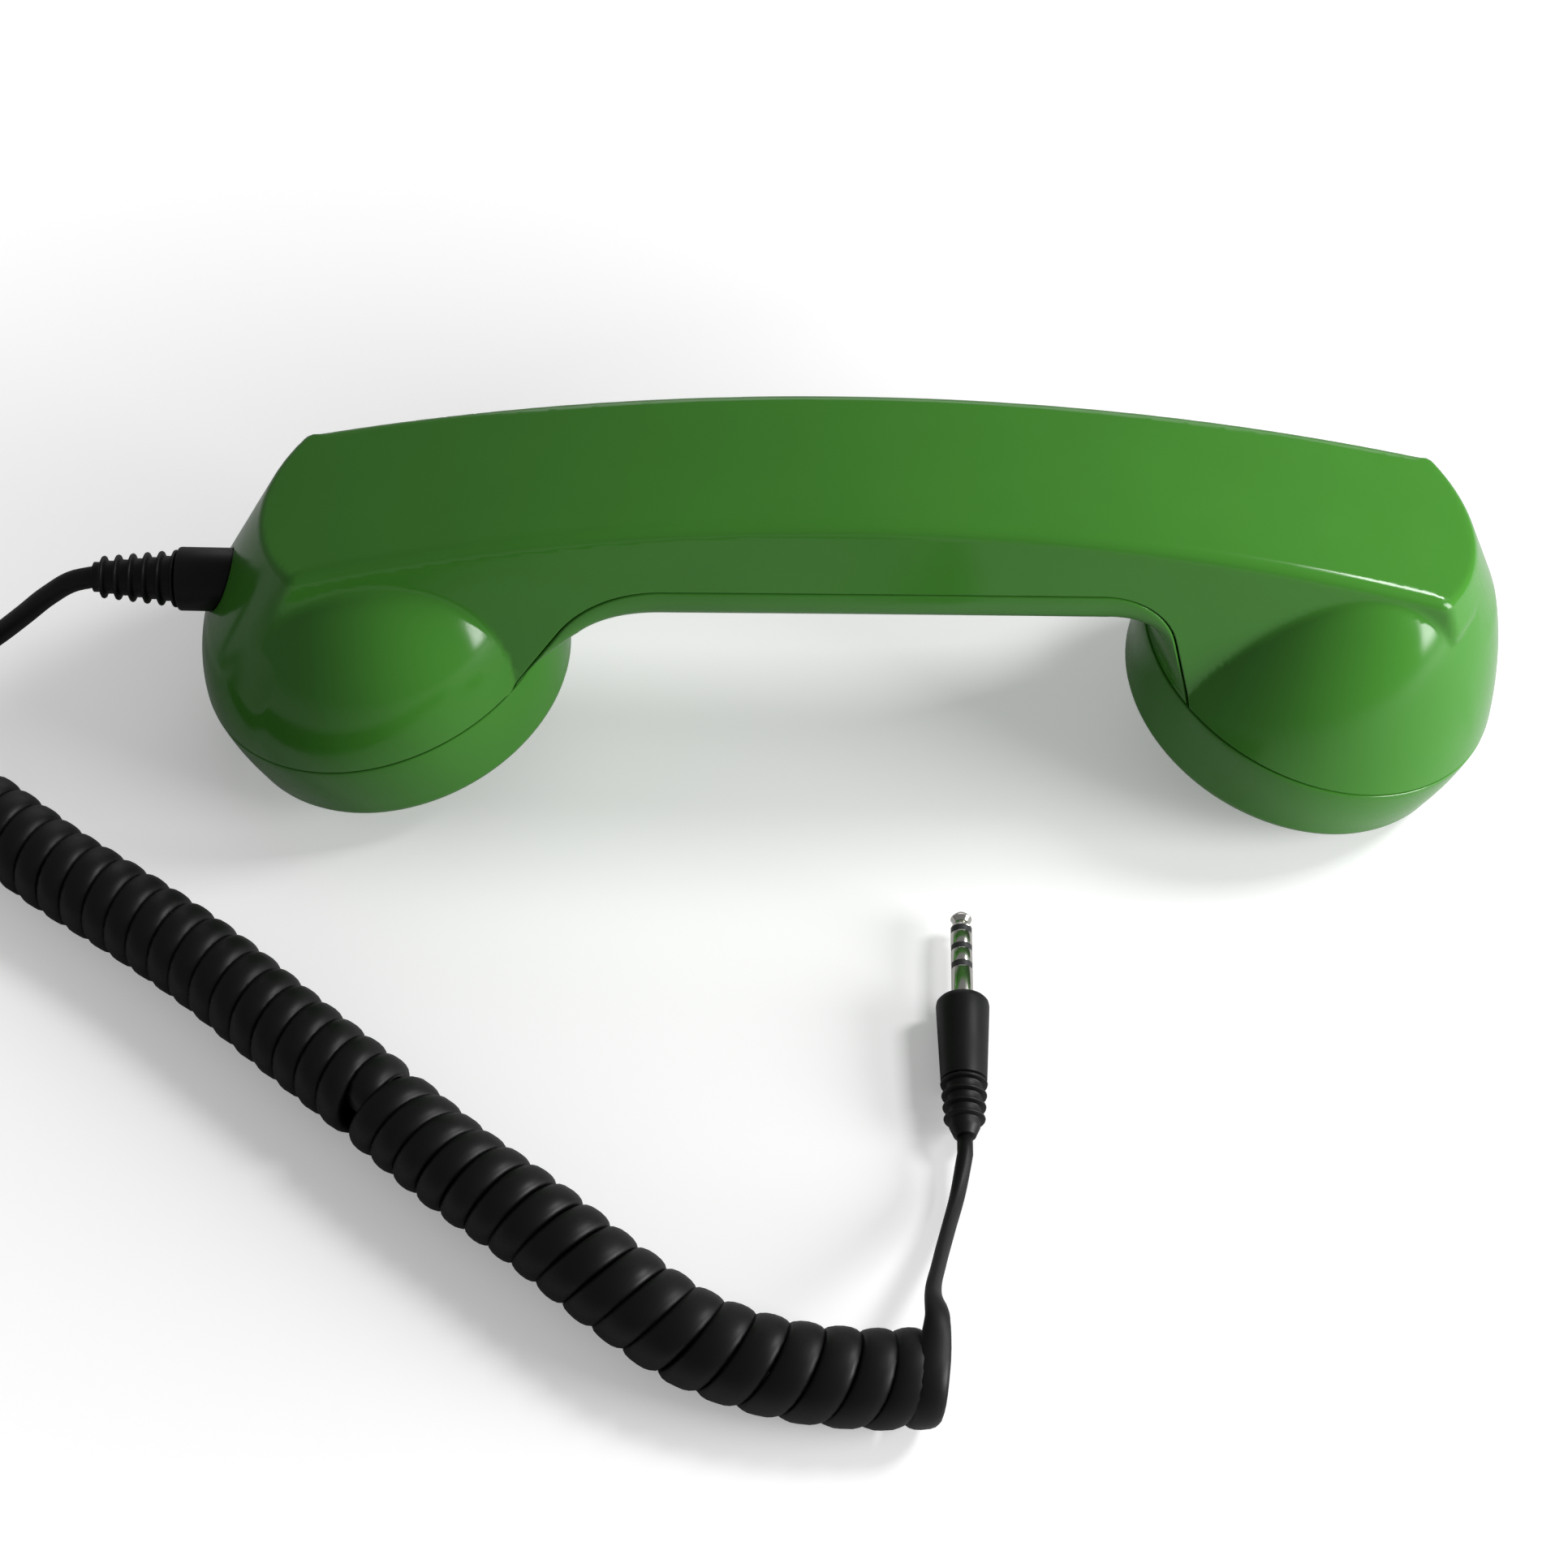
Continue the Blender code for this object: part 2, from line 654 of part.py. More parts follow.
def parting_line():
    """Side view of the parting line as (x, z) points from the mouth seam to the ear seam."""
    rise = Vector((1.0, EDGE_RISE)).normalized()
    ends = {}
    for side in SIDES:
        start = side * (CUP_SPACING / 2 - SEAM_RADIUS + PARTING_INSET[side])
        foot = Vector((start, seam_line(start)))
        lean = INNER_WALL_LEAN[side]
        up = Vector((-side * math.sin(lean), math.cos(lean)))
        climb = (edge_line(foot.x) - foot.y) / (up.y - EDGE_RISE * up.x)
        corner = foot + up * climb
        arc = fillet_points(corner, -up, rise * -side, INNER_WALL_FILLET[side], 5)
        wall = [foot.lerp(arc[0], share) for share in (0.0, 0.3, 0.65)]
        ends[side] = wall + arc
    first, last = ends[MOUTH][-1], ends[EAR][-1]
    edge = [first.lerp(last, k / 4) for k in range(1, 4)]
    return ends[MOUTH] + edge + ends[EAR][::-1]


def facing_angles(line):
    """Direction in which the cover bulges at each point, as an angle in the side view.

    It lies in the seam plane at both ends, and square to the parting line along the grip.
    """
    angles = []
    for i, point in enumerate(line):
        before = line[max(0, i - 1)]
        after = line[min(len(line) - 1, i + 1)]
        along = after - before
        angles.append(math.atan2(along.y, along.x) - math.pi / 2)
    wall_points = 3
    for side in SIDES:
        seam_angle = CUP_TILT if side == MOUTH else -math.pi - CUP_TILT
        first, step = (0, 1) if side == MOUTH else (len(line) - 1, -1)
        square = angles[first + step * wall_points]
        for k in range(wall_points):
            angles[first + step * k] = seam_angle + (square - seam_angle) * k / wall_points
    return angles


def crown_depth(y, half):
    return CROWN_DEPTH * (1 - min(1.0, abs(y / half)) ** CROWN_POWER) ** (1 / CROWN_POWER)


def cover_sections():
    """Cross-sections of the inner cover: for each, its outer and inner (y, depth) points."""
    line = parting_line()
    sections = []
    for point, angle in zip(line, facing_angles(line)):
        side = MOUTH if point.x < 0 else EAR
        seam_angle = CUP_TILT if side == MOUTH else -math.pi - CUP_TILT
        turned_share = abs((angle - seam_angle) / (-math.pi / 2 - seam_angle))
        rounding = max(0.0, 1.0 - turned_share)
        rounding = rounding * rounding * (3 - 2 * rounding)
        half = max(half_width(point.x, point.y), bulb_half_width(side, point.x, point.y))
        chord = math.sqrt(SEAM_RADIUS ** 2 - half ** 2)

        def depth(y):
            crown = crown_depth(y, half)
            arc = math.sqrt(max(0.0, SEAM_RADIUS ** 2 - y * y)) - chord
            return max(GAP, (1 - rounding) * crown + rounding * arc)

        outer = [(half * math.sin(math.radians(a)), 0.0) for a in (-90, -68, -46, -23, 0, 23, 46, 68, 90)]
        outer = [(y, depth(y)) for y, _ in outer]
        rim = half - COVER_LAND
        inner = [(rim * share, 0.0) for share in (1, 0.6, 0, -0.6, -1)]
        inner = [(y, max(GAP + COVER_WALL / 8, depth(y) - COVER_WALL)) for y, _ in inner]
        sections.append((point, angle, outer, [(rim, GAP)] + inner + [(-rim, GAP)]))
    return sections


def section_point(point, angle, y, depth):
    return (point.x + depth * math.cos(angle), y, point.y + depth * math.sin(angle))


def cover_reach(side, height):
    """Distance from the cup axis to mid-thickness of the cover's inner wall, at a height."""
    sections = cover_sections()[::-side]
    heights = []
    reaches = []
    for point, angle, outer, inner in sections:
        depth = (outer[len(outer) // 2][1] + inner[len(inner) // 2][1]) / 2
        x, _, z = section_point(point, angle, 0.0, depth)
        inward = CUP_SPACING / 2 - side * x
        up = z - SEAM_HEIGHT
        rise = up * math.cos(CUP_TILT) - inward * math.sin(CUP_TILT)
        if heights and rise < heights[-1]:
            break
        heights.append(rise)
        reaches.append(inward * math.cos(CUP_TILT) + up * math.sin(CUP_TILT))
    return float(np.interp(height, heights, reaches))


def crown_bottom():
    return edge_line(BUTTON_X) - CROWN_DEPTH


# ---------------------------------------------------------------- frames
def cup_frame(side):
    frame = add_object(CUP_NAMES[side] + "_cup_axis", None)
    frame.location = (side * CUP_SPACING / 2, 0.0, SEAM_HEIGHT)
    frame.rotation_euler = (0.0, side * CUP_TILT, 0.0)
    return frame


def screw_angle(side, index):
    """The first screw of each cup is the one toward the grip."""
    toward_grip = math.pi if side == EAR else 0.0
    return toward_grip + math.tau * index / SCREW_COUNT


# ---------------------------------------------------------------- casing
def handle_shell(frames, paint):
    shell = grip_block("handle_shell", 0.0, TOP_FILLET)
    hollow = grip_block("hollow", WALL, 0.0)
    cut = TOP_FILLET + GAP
    for side in SIDES:
        outer = bulb(side, 0.0, HAIR, cut, frames[side], CUP_FACETS, CUP_ROWS)
        shell = combine(shell, outer, "UNION")
        inner = bulb(side, SEAM_WALL, WALL + HAIR, 2 * cut, frames[side], HOLLOW_FACETS, HOLLOW_ROWS)
        hollow = combine(hollow, inner, "UNION")
    shell = combine(shell, hollow, "DIFFERENCE")
    far = 2 * CUP_SPACING
    line = [(p.x, p.y) for p in parting_line()]
    line += [(far, seam_line(far)), (far, -far), (-far, -far), (-far, seam_line(far))]
    rings = [[(x, y, z) for x, z in line] for y in (-CUP_SPACING / 2, CUP_SPACING / 2)]
    shell = combine(shell, loft("below_parting_line", rings), "DIFFERENCE")
    for side in SIDES:
        shell = combine(shell, neck(frames[side]), "UNION")
        for index in range(SCREW_COUNT):
            shell = combine(shell, screw_bore(side, index, frames[side]), "DIFFERENCE")
    for sign in (-1, 1):
        x = BUTTON_X + sign * BALLAST_SCREW_SPACING / 2
        foot = ballast_bottom() + BALLAST_THICKNESS + GAP
        post = rod("post", BALLAST_POST_RADIUS, foot, arch(x) - WALL / 2, SMALL_FACETS)
        post.location.x = x
        shell = combine(shell, post, "UNION")
        bore = rod("bore", SCREW_RADIUS + GAP, foot - WALL, arch(x) - WALL / 2 - GAP, 10)
        bore.location.x = x
        shell = combine(shell, bore, "DIFFERENCE")
    hole = rod("hole", RELIEF_SHANK_RADIUS + GAP, -4 * WALL, 4 * WALL, SMALL_FACETS)
    hole.rotation_euler = (0.0, math.pi / 2, 0.0)
    height = SEAM_HEIGHT + RELIEF_HEIGHT
    hole.location = (relief_wall(0.0, height), 0.0, height)
    shell = combine(shell, hole, "DIFFERENCE")
    return dress(merge_slivers(shell), paint)


def neck(frame):
    """Neck for the cap below the seam, and the ledge that holds the carrier plate."""
    outline = (
        (NECK_BORE, -NECK_LENGTH),
        (NECK_RADIUS, -NECK_LENGTH),
        (NECK_RADIUS, LEDGE_RISE),
        (NECK_RADIUS + GAP, LEDGE_RISE),
        (NECK_RADIUS + GAP, LEDGE_RISE + LEDGE_THICKNESS),
        (LEDGE_BORE, LEDGE_RISE + LEDGE_THICKNESS),
        (LEDGE_BORE, LEDGE_RISE),
        (NECK_BORE, LEDGE_RISE),
    )
    return turned("neck", outline, CUP_FACETS, frame)


def screw_bore(side, index, frame):
    bore = rod("bore", SCREW_RADIUS + GAP, -2 * CARRIER_THICKNESS, SCREW_LENGTH, 10, frame)
    turn = screw_angle(side, index)
    bore.location = (SCREW_CIRCLE * math.cos(turn), SCREW_CIRCLE * math.sin(turn), 0.0)
    return bore


def inner_cover(frames, paint):
    rings = []
    for point, angle, outer, inner in cover_sections():
        rings.append([section_point(point, angle, y, depth) for y, depth in outer + inner])
    cover = loft("inner_cover", rings)
    tab_foot = LEDGE_RISE + LEDGE_THICKNESS + GAP
    for side in SIDES:
        near = LEDGE_BORE
        far = cover_reach(side, tab_foot + TAB_THICKNESS / 2)
        span = (-far, -near) if side == EAR else (near, far)
        low = (span[0], -TAB_WIDTH / 2, tab_foot)
        high = (span[1], TAB_WIDTH / 2, tab_foot + TAB_THICKNESS)
        cover = combine(cover, box("tab", low, high, frames[side]), "UNION")
        cover = combine(cover, screw_bore(side, 0, frames[side]), "DIFFERENCE")
    board_bottom = board_height()
    for sign in (-1, 1):
        x = BUTTON_X + sign * BOARD_SCREW_SPACING / 2
        boss = rod("boss", BOARD_BOSS_RADIUS, crown_bottom() + COVER_WALL / 2, board_bottom - GAP, 12)
        boss.location.x = x
        cover = combine(cover, boss, "UNION")
        bore = rod("bore", SCREW_RADIUS + GAP, board_bottom - BOARD_SCREW_LENGTH, board_bottom + WALL, 10)
        bore.location.x = x
        cover = combine(cover, bore, "DIFFERENCE")
    hole = rod("hole", BUTTON_RADIUS + GAP, crown_bottom() - WALL, crown_bottom() + 2 * WALL, 20)
    hole.location.x = BUTTON_X
    cover = combine(cover, hole, "DIFFERENCE")
    return dress(merge_slivers(cover), paint)


def screw_cap(side, frame, paint):
    bore = NECK_RADIUS + CAP_BORE_CLEARANCE
    face = CAP_DEPTH - CAP_FACE_DROP
    rim = CAP_SIDE_RADIUS - CAP_CORNER - CAP_RIM_WIDTH
    outline = cap_outer_outline() + [
        (rim, -CAP_DEPTH),
        (rim - CAP_FACE_DROP / 2, -face),
        (SOUND_HOLE_RADIUS, -face),
        (SOUND_HOLE_RADIUS, CAP_FACE_WALL - face),
        (bore - CAP_FACE_WALL, CAP_FACE_WALL - face),
        (bore, -CAP_BORE_DEPTH),
        (bore, -GAP),
    ]
    cap = turned(CUP_NAMES[side] + "_cap", outline, CUP_FACETS, frame)
    for radius, count in SOUND_RINGS[side]:
        for k in range(count):
            turn = math.tau * (k + 0.5) / count
            hole = rod("hole", SOUND_HOLE_RADIUS, -CAP_DEPTH, CAP_FACE_WALL * 1.5 - face, 6, frame)
            hole.location = (radius * math.cos(turn), radius * math.sin(turn), 0.0)
            cap = combine(cap, hole, "DIFFERENCE")
    return dress(merge_slivers(cap), paint)


def felt_disc(side, frame, paint):
    foot = CAP_FACE_WALL + CAP_FACE_DROP - CAP_DEPTH + GAP
    felt = rod(CUP_NAMES[side] + "_felt", FELT_RADIUS, foot, foot + FELT_THICKNESS, ROUND_FACETS, frame)
    return dress(felt, paint)


# ---------------------------------------------------------------- inside the cups
PLATE_TOP = LEDGE_RISE - GAP
PLATE_BOTTOM = PLATE_TOP - CARRIER_THICKNESS
BELOW_PLATE = PLATE_BOTTOM - GAP


def carrier(name, side, hole_radius, frame, paint):
    radius = NECK_BORE - GAP
    outline = (
        (hole_radius, PLATE_BOTTOM),
        (radius, PLATE_BOTTOM),
        (radius, PLATE_TOP),
        (hole_radius, PLATE_TOP),
    )
    plate = turned(name, outline, ROUND_FACETS, frame)
    for index in range(SCREW_COUNT):
        plate = combine(plate, screw_bore(side, index, frame), "DIFFERENCE")
    return dress(plate, paint)


def screw_mesh(length, facets=8):
    """Pan-head screw along Z: the shaft points up from the head's inner face at height 0."""
    outline = (
        (0.0, -SCREW_HEAD_HEIGHT),
        (SCREW_HEAD_RADIUS * 0.7, -SCREW_HEAD_HEIGHT),
        (SCREW_HEAD_RADIUS, -SCREW_HEAD_HEIGHT * 0.6),
        (SCREW_HEAD_RADIUS, 0.0),
        (SCREW_RADIUS, 0.0),
        (SCREW_RADIUS, length - SCREW_RADIUS),
        (0.0, length),
    )
    made = turned("screw", outline, facets)
    data = made.data
    bpy.data.objects.remove(made, do_unlink=True)
    return data


def cup_screws(side, frame, data, paint):
    for index in range(SCREW_COUNT):
        turn = screw_angle(side, index)
        screw = add_object(f"{CUP_NAMES[side]}_screw_{index + 1}", data, frame)
        screw.location = (SCREW_CIRCLE * math.cos(turn), SCREW_CIRCLE * math.sin(turn), BELOW_PLATE)
        dress(screw, paint)


def earpiece(frame, paints):
    top = BELOW_PLATE
    bottom = top - SPEAKER_FLANGE
    basket = BASKET_RADIUS
    back = top + BASKET_HEIGHT
    wall = CONE_THICKNESS * 2
    outline = (
        (SPEAKER_RADIUS - wall, bottom),
        (SPEAKER_RADIUS, bottom),
        (SPEAKER_RADIUS, top),
        (basket, top),
        (basket - GAP, top + CARRIER_THICKNESS + wall),
        (MAGNET_RADIUS + wall, back - wall),
        (MAGNET_RADIUS + wall, back),
        (MAGNET_RADIUS / 2, back),
        (MAGNET_RADIUS / 2, back - wall),
        (MAGNET_RADIUS, back - 1.5 * wall),
        (basket - wall, top),
        (basket - wall, bottom + wall),
        (SPEAKER_RADIUS - wall, bottom + wall),
    )
    dress(turned("speaker_frame", outline, ROUND_FACETS, frame), paints["dark"])
    rim = SPEAKER_RADIUS - wall - GAP
    roll = basket - wall - GAP
    coil = MAGNET_RADIUS / 2
    outline = (
        (0.0, bottom + CONE_RISE / 2),
        (coil, bottom + CONE_RISE),
        (roll - GAP, bottom),
        (rim, bottom),
        (rim, bottom + CONE_THICKNESS),
        (roll - GAP, bottom + CONE_THICKNESS),
        (coil, bottom + CONE_RISE + CONE_THICKNESS),
        (0.0, bottom + CONE_RISE / 2 + CONE_THICKNESS),
    )
    dress(turned("speaker_cone", outline, ROUND_FACETS, frame), paints["paper"])
    foot = back + GAP
    magnet = rod("speaker_magnet", MAGNET_RADIUS, foot, foot + MAGNET_THICKNESS, ROUND_FACETS, frame)
    dress(magnet, paints["steel"])
    high = bottom - GAP
    low = high - GASKET_THICKNESS
    outline = ((GASKET_BORE, low), (SPEAKER_RADIUS, low), (SPEAKER_RADIUS, high), (GASKET_BORE, high))
    dress(turned("speaker_gasket", outline, ROUND_FACETS, frame), paints["felt"])


def holder_radius():
    return CAPSULE_RADIUS + GAP + HOLDER_WALL


def mouthpiece(frame, paints):
    bore = CAPSULE_RADIUS + GAP
    radius = holder_radius()
    lip = radius + HOLDER_LIP
    low = BELOW_PLATE - HOLDER_FLANGE
    top = low + CAPSULE_LENGTH + 2 * GAP
    outline = (
        (bore, low),
        (lip, low),
        (lip, BELOW_PLATE),
        (radius, BELOW_PLATE),
        (radius, PLATE_TOP + GAP),
        (lip, PLATE_TOP + GAP),
        (lip, top + HOLDER_FLANGE / 2),
        (bore / 2, top + HOLDER_FLANGE / 2),
        (bore / 2, top),
        (bore, top),
    )
    dress(turned("mic_holder", outline, 24, frame), paints["black"])
    capsule = rod("mic_capsule", CAPSULE_RADIUS, low, low + CAPSULE_LENGTH, 24, frame)
    dress(capsule, paints["steel"])


# ---------------------------------------------------------------- inside the grip
def button_heights():
    """Heights of the button: bottom, flange underside, flange top, stem top."""
    reach = BUTTON_RADIUS + BUTTON_FLANGE
    half = half_width(BUTTON_X, edge_line(BUTTON_X))
    seat = CROWN_DEPTH - crown_depth(reach, half) + EDGE_RISE * reach
    flange = crown_bottom() + COVER_WALL + seat + GAP
    return (
        crown_bottom() - BUTTON_PROUD,
        flange,
        flange + BUTTON_FLANGE_THICKNESS,
        flange + BUTTON_FLANGE_THICKNESS + BUTTON_STEM,
    )


def plunger_height():
    return button_heights()[3] + BUTTON_FREE_PLAY + BUTTON_TRAVEL


def board_height():
    return plunger_height() + PLUNGER_LENGTH + SWITCH_HEIGHT + GAP


def answer_button(paint):
    bottom, flange, flange_top, stem_top = (h - button_heights()[0] for h in button_heights())
    outline = (
        (0.0, bottom),
        (BUTTON_RADIUS - BUTTON_PROUD, bottom),
        (BUTTON_RADIUS, bottom + BUTTON_PROUD / 2),
        (BUTTON_RADIUS, flange),
        (BUTTON_RADIUS + BUTTON_FLANGE, flange),
        (BUTTON_RADIUS + BUTTON_FLANGE, flange_top),
        (PLUNGER_RADIUS, flange_top),
        (PLUNGER_RADIUS, stem_top),
        (0.0, stem_top),
    )
    button = turned("answer_button", outline, 20)
    button.location = (BUTTON_X, 0.0, button_heights()[0])
    dress(button, paint)


def key_switch(paint):
    foot = plunger_height()
    body_low = foot + PLUNGER_LENGTH
    half = SWITCH_SIZE / 2
    low = (-half, -half, body_low)
    high = (half, half, body_low + SWITCH_HEIGHT)
    switch = box("tact_switch", low, high)
    switch = combine(switch, rod("plunger", PLUNGER_RADIUS, foot, body_low + GAP, 12), "UNION")
    switch.location.x = BUTTON_X
    dress(switch, paint)


def circuit_board(paint, screw_paint, screw_data):
    low = board_height()
    high = low + BOARD_THICKNESS
    board = box(
        "button_board",
        (BUTTON_X - BOARD_LENGTH / 2, -BOARD_WIDTH / 2, low),
        (BUTTON_X + BOARD_LENGTH / 2, BOARD_WIDTH / 2, high),
    )
    for index, sign in enumerate((-1, 1)):
        x = BUTTON_X + sign * BOARD_SCREW_SPACING / 2
        bore = rod("bore", SCREW_RADIUS + GAP, low - WALL, high + WALL, 10)
        bore.location.x = x
        board = combine(board, bore, "DIFFERENCE")
        screw = add_object(f"board_screw_{index + 1}", screw_data)
        screw.location = (x, 0.0, high + GAP)
        screw.rotation_euler = (math.pi, 0.0, 0.0)
        dress(screw, screw_paint)
    dress(board, paint)


def ballast_bottom():
    return board_height() + BOARD_THICKNESS + GAP + SCREW_HEAD_HEIGHT + BALLAST_ROOM


def ballast(paint, screw_paint, screw_data):
    half = BALLAST_LENGTH / 2
    low = ballast_bottom()
    top = low + BALLAST_THICKNESS
    bar = box(
        "ballast_bar",
        (BUTTON_X - half, -BALLAST_WIDTH / 2, low),
        (BUTTON_X + half, BALLAST_WIDTH / 2, top),
    )
    for index, sign in enumerate((-1, 1)):
        x = BUTTON_X + sign * BALLAST_SCREW_SPACING / 2
        bore = rod("bore", SCREW_RADIUS + GAP, low - WALL, top + WALL, 10)
        bore.location.x = x
        bar = combine(bar, bore, "DIFFERENCE")
        screw = add_object(f"ballast_screw_{index + 1}", screw_data)
        screw.location = (x, 0.0, low - GAP)
        dress(screw, screw_paint)
    dress(bar, paint)


# ---------------------------------------------------------------- strain relief
def relief_wall(y, z):
    """X of the mouth end wall's outer face."""
    centre, radius = end_circle(MOUTH, z)
    return centre - math.sqrt(radius ** 2 - y ** 2)


def ribbed(start, pitch, count, radii, groove):
    """(position, radius) points of a tapering ribbed sleeve."""
    points = []
    for k in range(count):
        share = k / (count - 1)
        crest = radii[0] + (radii[1] - radii[0]) * share
        for place, depth in RIB_STEPS:
            points.append((start + pitch * (k + place), crest - groove * depth))
    return points


def strain_relief(paint):
    """Rings around an X axis; those near the end wall follow its slope."""
    pitch = (RELIEF_COLLAR_END_X - RELIEF_END_X) / RELIEF_RIBS
    ribs = ribbed(-RELIEF_COLLAR_END_X, pitch, RELIEF_RIBS, RELIEF_RIB_RADIUS, RELIEF_GROOVE_DEPTH)
    rows = [(-position, radius, None) for position, radius in reversed(ribs)]
    rows += [(RELIEF_COLLAR_END_X, RELIEF_COLLAR_RADIUS, None)]
    wall_rows = (
        (-GAP, RELIEF_COLLAR_RADIUS),
        (-GAP, RELIEF_SHANK_RADIUS),
        (WALL + GAP, RELIEF_SHANK_RADIUS),
        (WALL + GAP, RELIEF_FLANGE_RADIUS),
        (WALL + GAP + RELIEF_FLANGE_THICKNESS, RELIEF_FLANGE_RADIUS),
    )
    rows += [(None, radius, offset) for offset, radius in wall_rows]
    rings = []
    for x, radius, offset in rows:
        ring = []
        for k in range(SMALL_FACETS):
            turn = math.tau * (k + 0.5) / SMALL_FACETS
            y = radius * math.cos(turn)
            z = SEAM_HEIGHT + RELIEF_HEIGHT + radius * math.sin(turn)
            ring.append((relief_wall(y, z) + offset if x is None else x, y, z))
        rings.append(ring)
    dress(loft("strain_relief", rings), paint)


# ---------------------------------------------------------------- plug
def plug_frame():
    """Frame on the plug's axis: local Z points from the body to the pin, 0 is the front face."""
    frame = add_object("plug_axis", None)
    frame.location = (PLUG_X, PLUG_FRONT_Y, PLUG_HEIGHT)
    frame.rotation_euler = (-math.pi / 2, 0.0, 0.0)
    return frame


def plug_length():
    return PLUG_BODY_LENGTH + PLUG_RIBS * PLUG_RIB_PITCH + PLUG_TAIL


def plug_body(frame, paint):
    core = PIN_CORE_RADIUS + GAP
    seat = PIN_RADIUS + GAP
    ribs = ribbed(PLUG_BODY_LENGTH, PLUG_RIB_PITCH, PLUG_RIBS, PLUG_RIB_RADIUS, PLUG_GROOVE_DEPTH)
    outline = [(0.0, -PIN_CORE_SEAT), (core, -PIN_CORE_SEAT), (core, -PIN_SEAT), (seat, -PIN_SEAT)]
    outline += [(seat, 0.0), (PLUG_FRONT_RADIUS - GAP, 0.0), (PLUG_FRONT_RADIUS, -GAP)]
    outline += [(PLUG_BACK_RADIUS, -PLUG_BODY_LENGTH)]
    outline += [(radius, -position) for position, radius in ribs]
    outline += [(PLUG_LEAD_RADIUS + GAP, -plug_length()), (0.0, -plug_length())]
    dress(turned("plug_body", outline, SMALL_FACETS, frame), paint)


def plug_pin(frame, paints):
    """Four-pole pin: metal rings on an insulating core whose collars part them."""
    pieces = (
        ("jack_sleeve", PIN_SLEEVE_LENGTH),
        ("jack_ring_1", PIN_RING_LENGTH),
        ("jack_ring_2", PIN_RING_LENGTH),
    )
    bore = PIN_CORE_RADIUS + GAP
    start = GAP - PIN_SEAT
    core = [(0.0, GAP - PIN_CORE_SEAT), (PIN_CORE_RADIUS, GAP - PIN_CORE_SEAT)]
    for name, length in pieces:
        finish = start + length
        outline = ((bore, start), (PIN_RADIUS, start), (PIN_RADIUS, finish), (bore, finish))
        dress(turned(name, outline, SMALL_FACETS, frame), paints["chrome"])
        collar = (finish + GAP, finish + GAP + PIN_INSULATOR)
        core += [
            (PIN_CORE_RADIUS, collar[0]),
            (PIN_RADIUS, collar[0]),
            (PIN_RADIUS, collar[1]),
            (PIN_CORE_RADIUS, collar[1]),
        ]
        start = collar[1] + GAP
    core += [(PIN_CORE_RADIUS, start + PIN_TIP_BORE), (0.0, start + PIN_TIP_BORE)]
    dress(turned("jack_core", core, SMALL_FACETS, frame), paints["black"])
    hollow = start + PIN_TIP_BORE + GAP
    tip = (
        (bore, start),
        (PIN_RADIUS, start),
        (PIN_TIP_WAIST[1], start + PIN_TIP_WAIST[0]),
        (PIN_RADIUS, start + PIN_TIP_SHOULDER),
        (PIN_TIP_END_RADIUS, start + PIN_TIP_LENGTH),
        (0.0, start + PIN_TIP_LENGTH),
        (0.0, hollow),
        (bore, hollow),
    )
    dress(turned("jack_tip", tip, SMALL_FACETS, frame), paints["chrome"])


# ---------------------------------------------------------------- cords
def curl_offset(turn):
    """Place of the strip's centre around the curls' axis, as (up, across) on a unit circle.

    After CURLS_BEFORE turns the strip crosses the middle in an S and winds the other way.
    """
    past = turn - CURLS_BEFORE
    if past <= 0:
        return math.cos(math.tau * turn), math.sin(math.tau * turn)
    if past < 0.25:
        swing = math.tau * past * 2
        return 0.5 + 0.5 * math.cos(swing), 0.5 * math.sin(swing)
    if past < 0.5:
        swing = math.tau * (past - 0.25) * 2
        return -0.5 + 0.5 * math.cos(swing), -0.5 * math.sin(swing)
    swing = math.tau * (past - 0.5)
    return -math.cos(swing), math.sin(swing)


def curl_strand():
    """Centre points of the curled strip and the direction of the curls' axis at each."""
    axis = smooth_curve(CURL_ROUTE, 0.002)
    run = np.concatenate(([0.0], np.cumsum(np.linalg.norm(np.diff(axis, axis=0), axis=1))))
    headings = np.gradient(axis, run, axis=0)
    turns = CURLS_BEFORE + 0.5 + CURLS_AFTER
    radius = CURL_OUTER_RADIUS - STRIP_THICKNESS / 2
    points = []
    axes = []
    for i in range(round(turns * POINTS_PER_CURL) + 1):
        turn = i / POINTS_PER_CURL
        place = run[-1] * turn / turns
        x, y = (np.interp(place, run, axis[:, k]) for k in (0, 1))
        heading = np.array([np.interp(place, run, headings[:, k]) for k in (0, 1)])
        heading /= np.linalg.norm(heading)
        up, across = curl_offset(turn)
        points.append((
            x + radius * across * heading[1],
            y - radius * across * heading[0],
            CURL_OUTER_RADIUS + GAP / 3 + radius * up,
        ))
        axes.append((heading[0], heading[1], 0.0))
    points = np.array(points)
    axes = np.array(axes)
    first = np.array((axes[0][1], -axes[0][0], 0.0)) * STRIP_WIDTH
    last = np.array((-axes[-1][1], axes[-1][0], 0.0)) * STRIP_WIDTH
    points = np.vstack((points[0] - first, points, points[-1] + last))
    axes = np.vstack((axes[0], axes, axes[-1]))
    return points, axes


